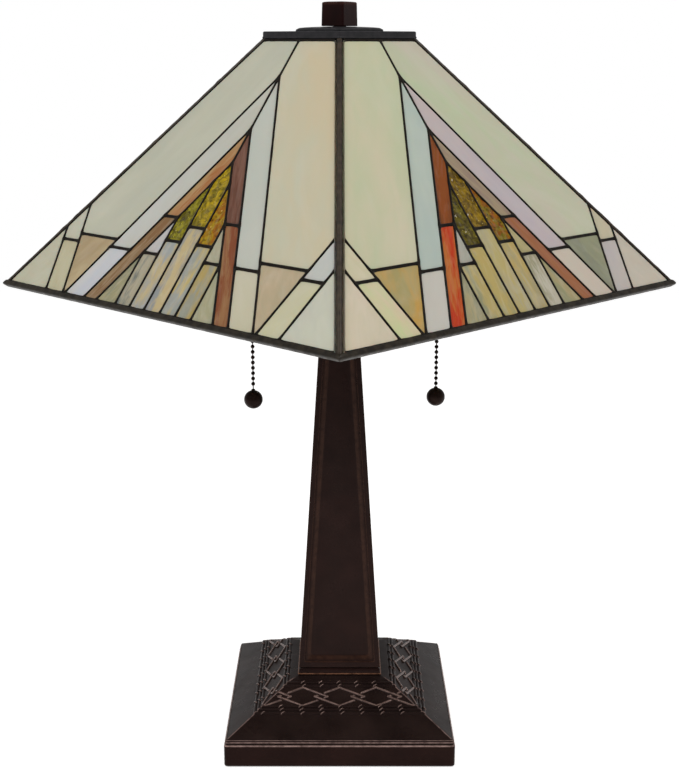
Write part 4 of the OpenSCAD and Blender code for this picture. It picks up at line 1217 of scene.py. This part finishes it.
def main():
    make_camera()
    make_light()
    make_floor()
    base_colours = (srgb(25, 17, 16), srgb(36, 26, 24))
    bronze_base = bronze_paint("bronze_base_paint", *base_colours, srgb(196, 164, 156), 0.09, 17.2 * MM)
    relief_paint = bronze_paint("bronze_relief_paint", *base_colours, srgb(150, 124, 116), 0.55,
                                polish=(0.14, 0.24))
    bronze_column = bronze_paint("bronze_column_paint", srgb(21, 12, 11), srgb(32, 18, 16), srgb(112, 78, 60), 0.14)
    finial_paint = bronze_paint("finial_paint", srgb(24, 14, 14), srgb(38, 16, 16), srgb(84, 52, 42), 0.11)
    knob_paint = bronze_paint("knob_paint", srgb(16, 11, 10), srgb(26, 18, 16), srgb(60, 42, 36), 0.08)
    leads = solder("lead_patina", srgb(12, 9, 6), srgb(27, 21, 14), 0.1)
    rim = solder("rim_patina", srgb(24, 20, 15), srgb(44, 38, 29), 0.16)
    ribs = solder("rib_patina", srgb(42, 35, 28), srgb(64, 54, 43), 0.22)
    crown_patina = solder("crown_patina", srgb(34, 32, 35), srgb(20, 20, 23), 0.24)
    brass = plated("antique_brass_plate", srgb(150, 116, 66), srgb(92, 66, 38), 0.34)
    bright = plated("bright_brass_plate", srgb(206, 168, 98), srgb(170, 132, 72), 0.24)
    zinc = plated("zinc_plate", srgb(190, 190, 186), srgb(160, 160, 158), 0.32)
    aluminium = plated("aluminium_cap", srgb(206, 206, 204), srgb(178, 178, 178), 0.3)
    chain_metal = plated("chain_plate", srgb(34, 25, 21), srgb(20, 14, 12), 0.36, 400)
    wire = plain_plastic("wire_jacket_pvc", srgb(30, 30, 30), srgb(22, 22, 22), 0.5, 900)
    black = plain_plastic("black_moulding", srgb(24, 24, 24), srgb(16, 16, 16), 0.5, 1400)
    insulator = plain_plastic("brown_moulding", srgb(74, 48, 34), srgb(54, 34, 26), 0.3, 700)
    frosted = frosted_glass()
    glass = {
        "pale": opal_glass("pale_glass", 5, 16, 0.14, 0.10, 0.16),
        "rib": opal_glass("rib_glass", 18, 110, 0.04, 0.12, 0.14, 0.08),
        "slat": opal_glass("slat_glass", 22, 90, 0.16, 0.12, 0.16, 0.06),
        "corner": opal_glass("corner_glass", 12, 34, 0.12, 0.10, 0.16),
        "gold": hammered_glass(),
    }
    for k in FACES:
        for kind, material in glass.items():
            glass_piece(kind, k, material)
        leading_piece(k, leads)
    rim_piece(rim)
    corner_ribs_piece(ribs)
    crown_piece(crown_patina)
    vase_cap_piece(crown_patina)
    finial_piece(finial_paint)
    base_casting(bronze_base, relief_paint)
    column_piece(bronze_column)
    felt_piece(felt_cloth())
    bushing_piece(black)
    for side in SIDES:
        socket_pieces(side, brass, bright, insulator)
        bulb_pieces(side, frosted, aluminium)
        bell_piece(side, brass)
        chain_pieces(side, chain_metal, knob_paint)
    riser_piece(bright)
    for name, material, width in (
            ("column_cap", bronze_column, 0.5), ("cluster", brass, 0.5), ("shade_rest", bright, 0.5),
            ("finial_insert", bright, 0), ("centre_pipe", zinc, 0), ("pipe_washer", zinc, 0.2),
            ("pipe_nut", zinc, 0.3), ("lead_wires", wire, 0)):
        kept_node(name, material, width * MM)


main()
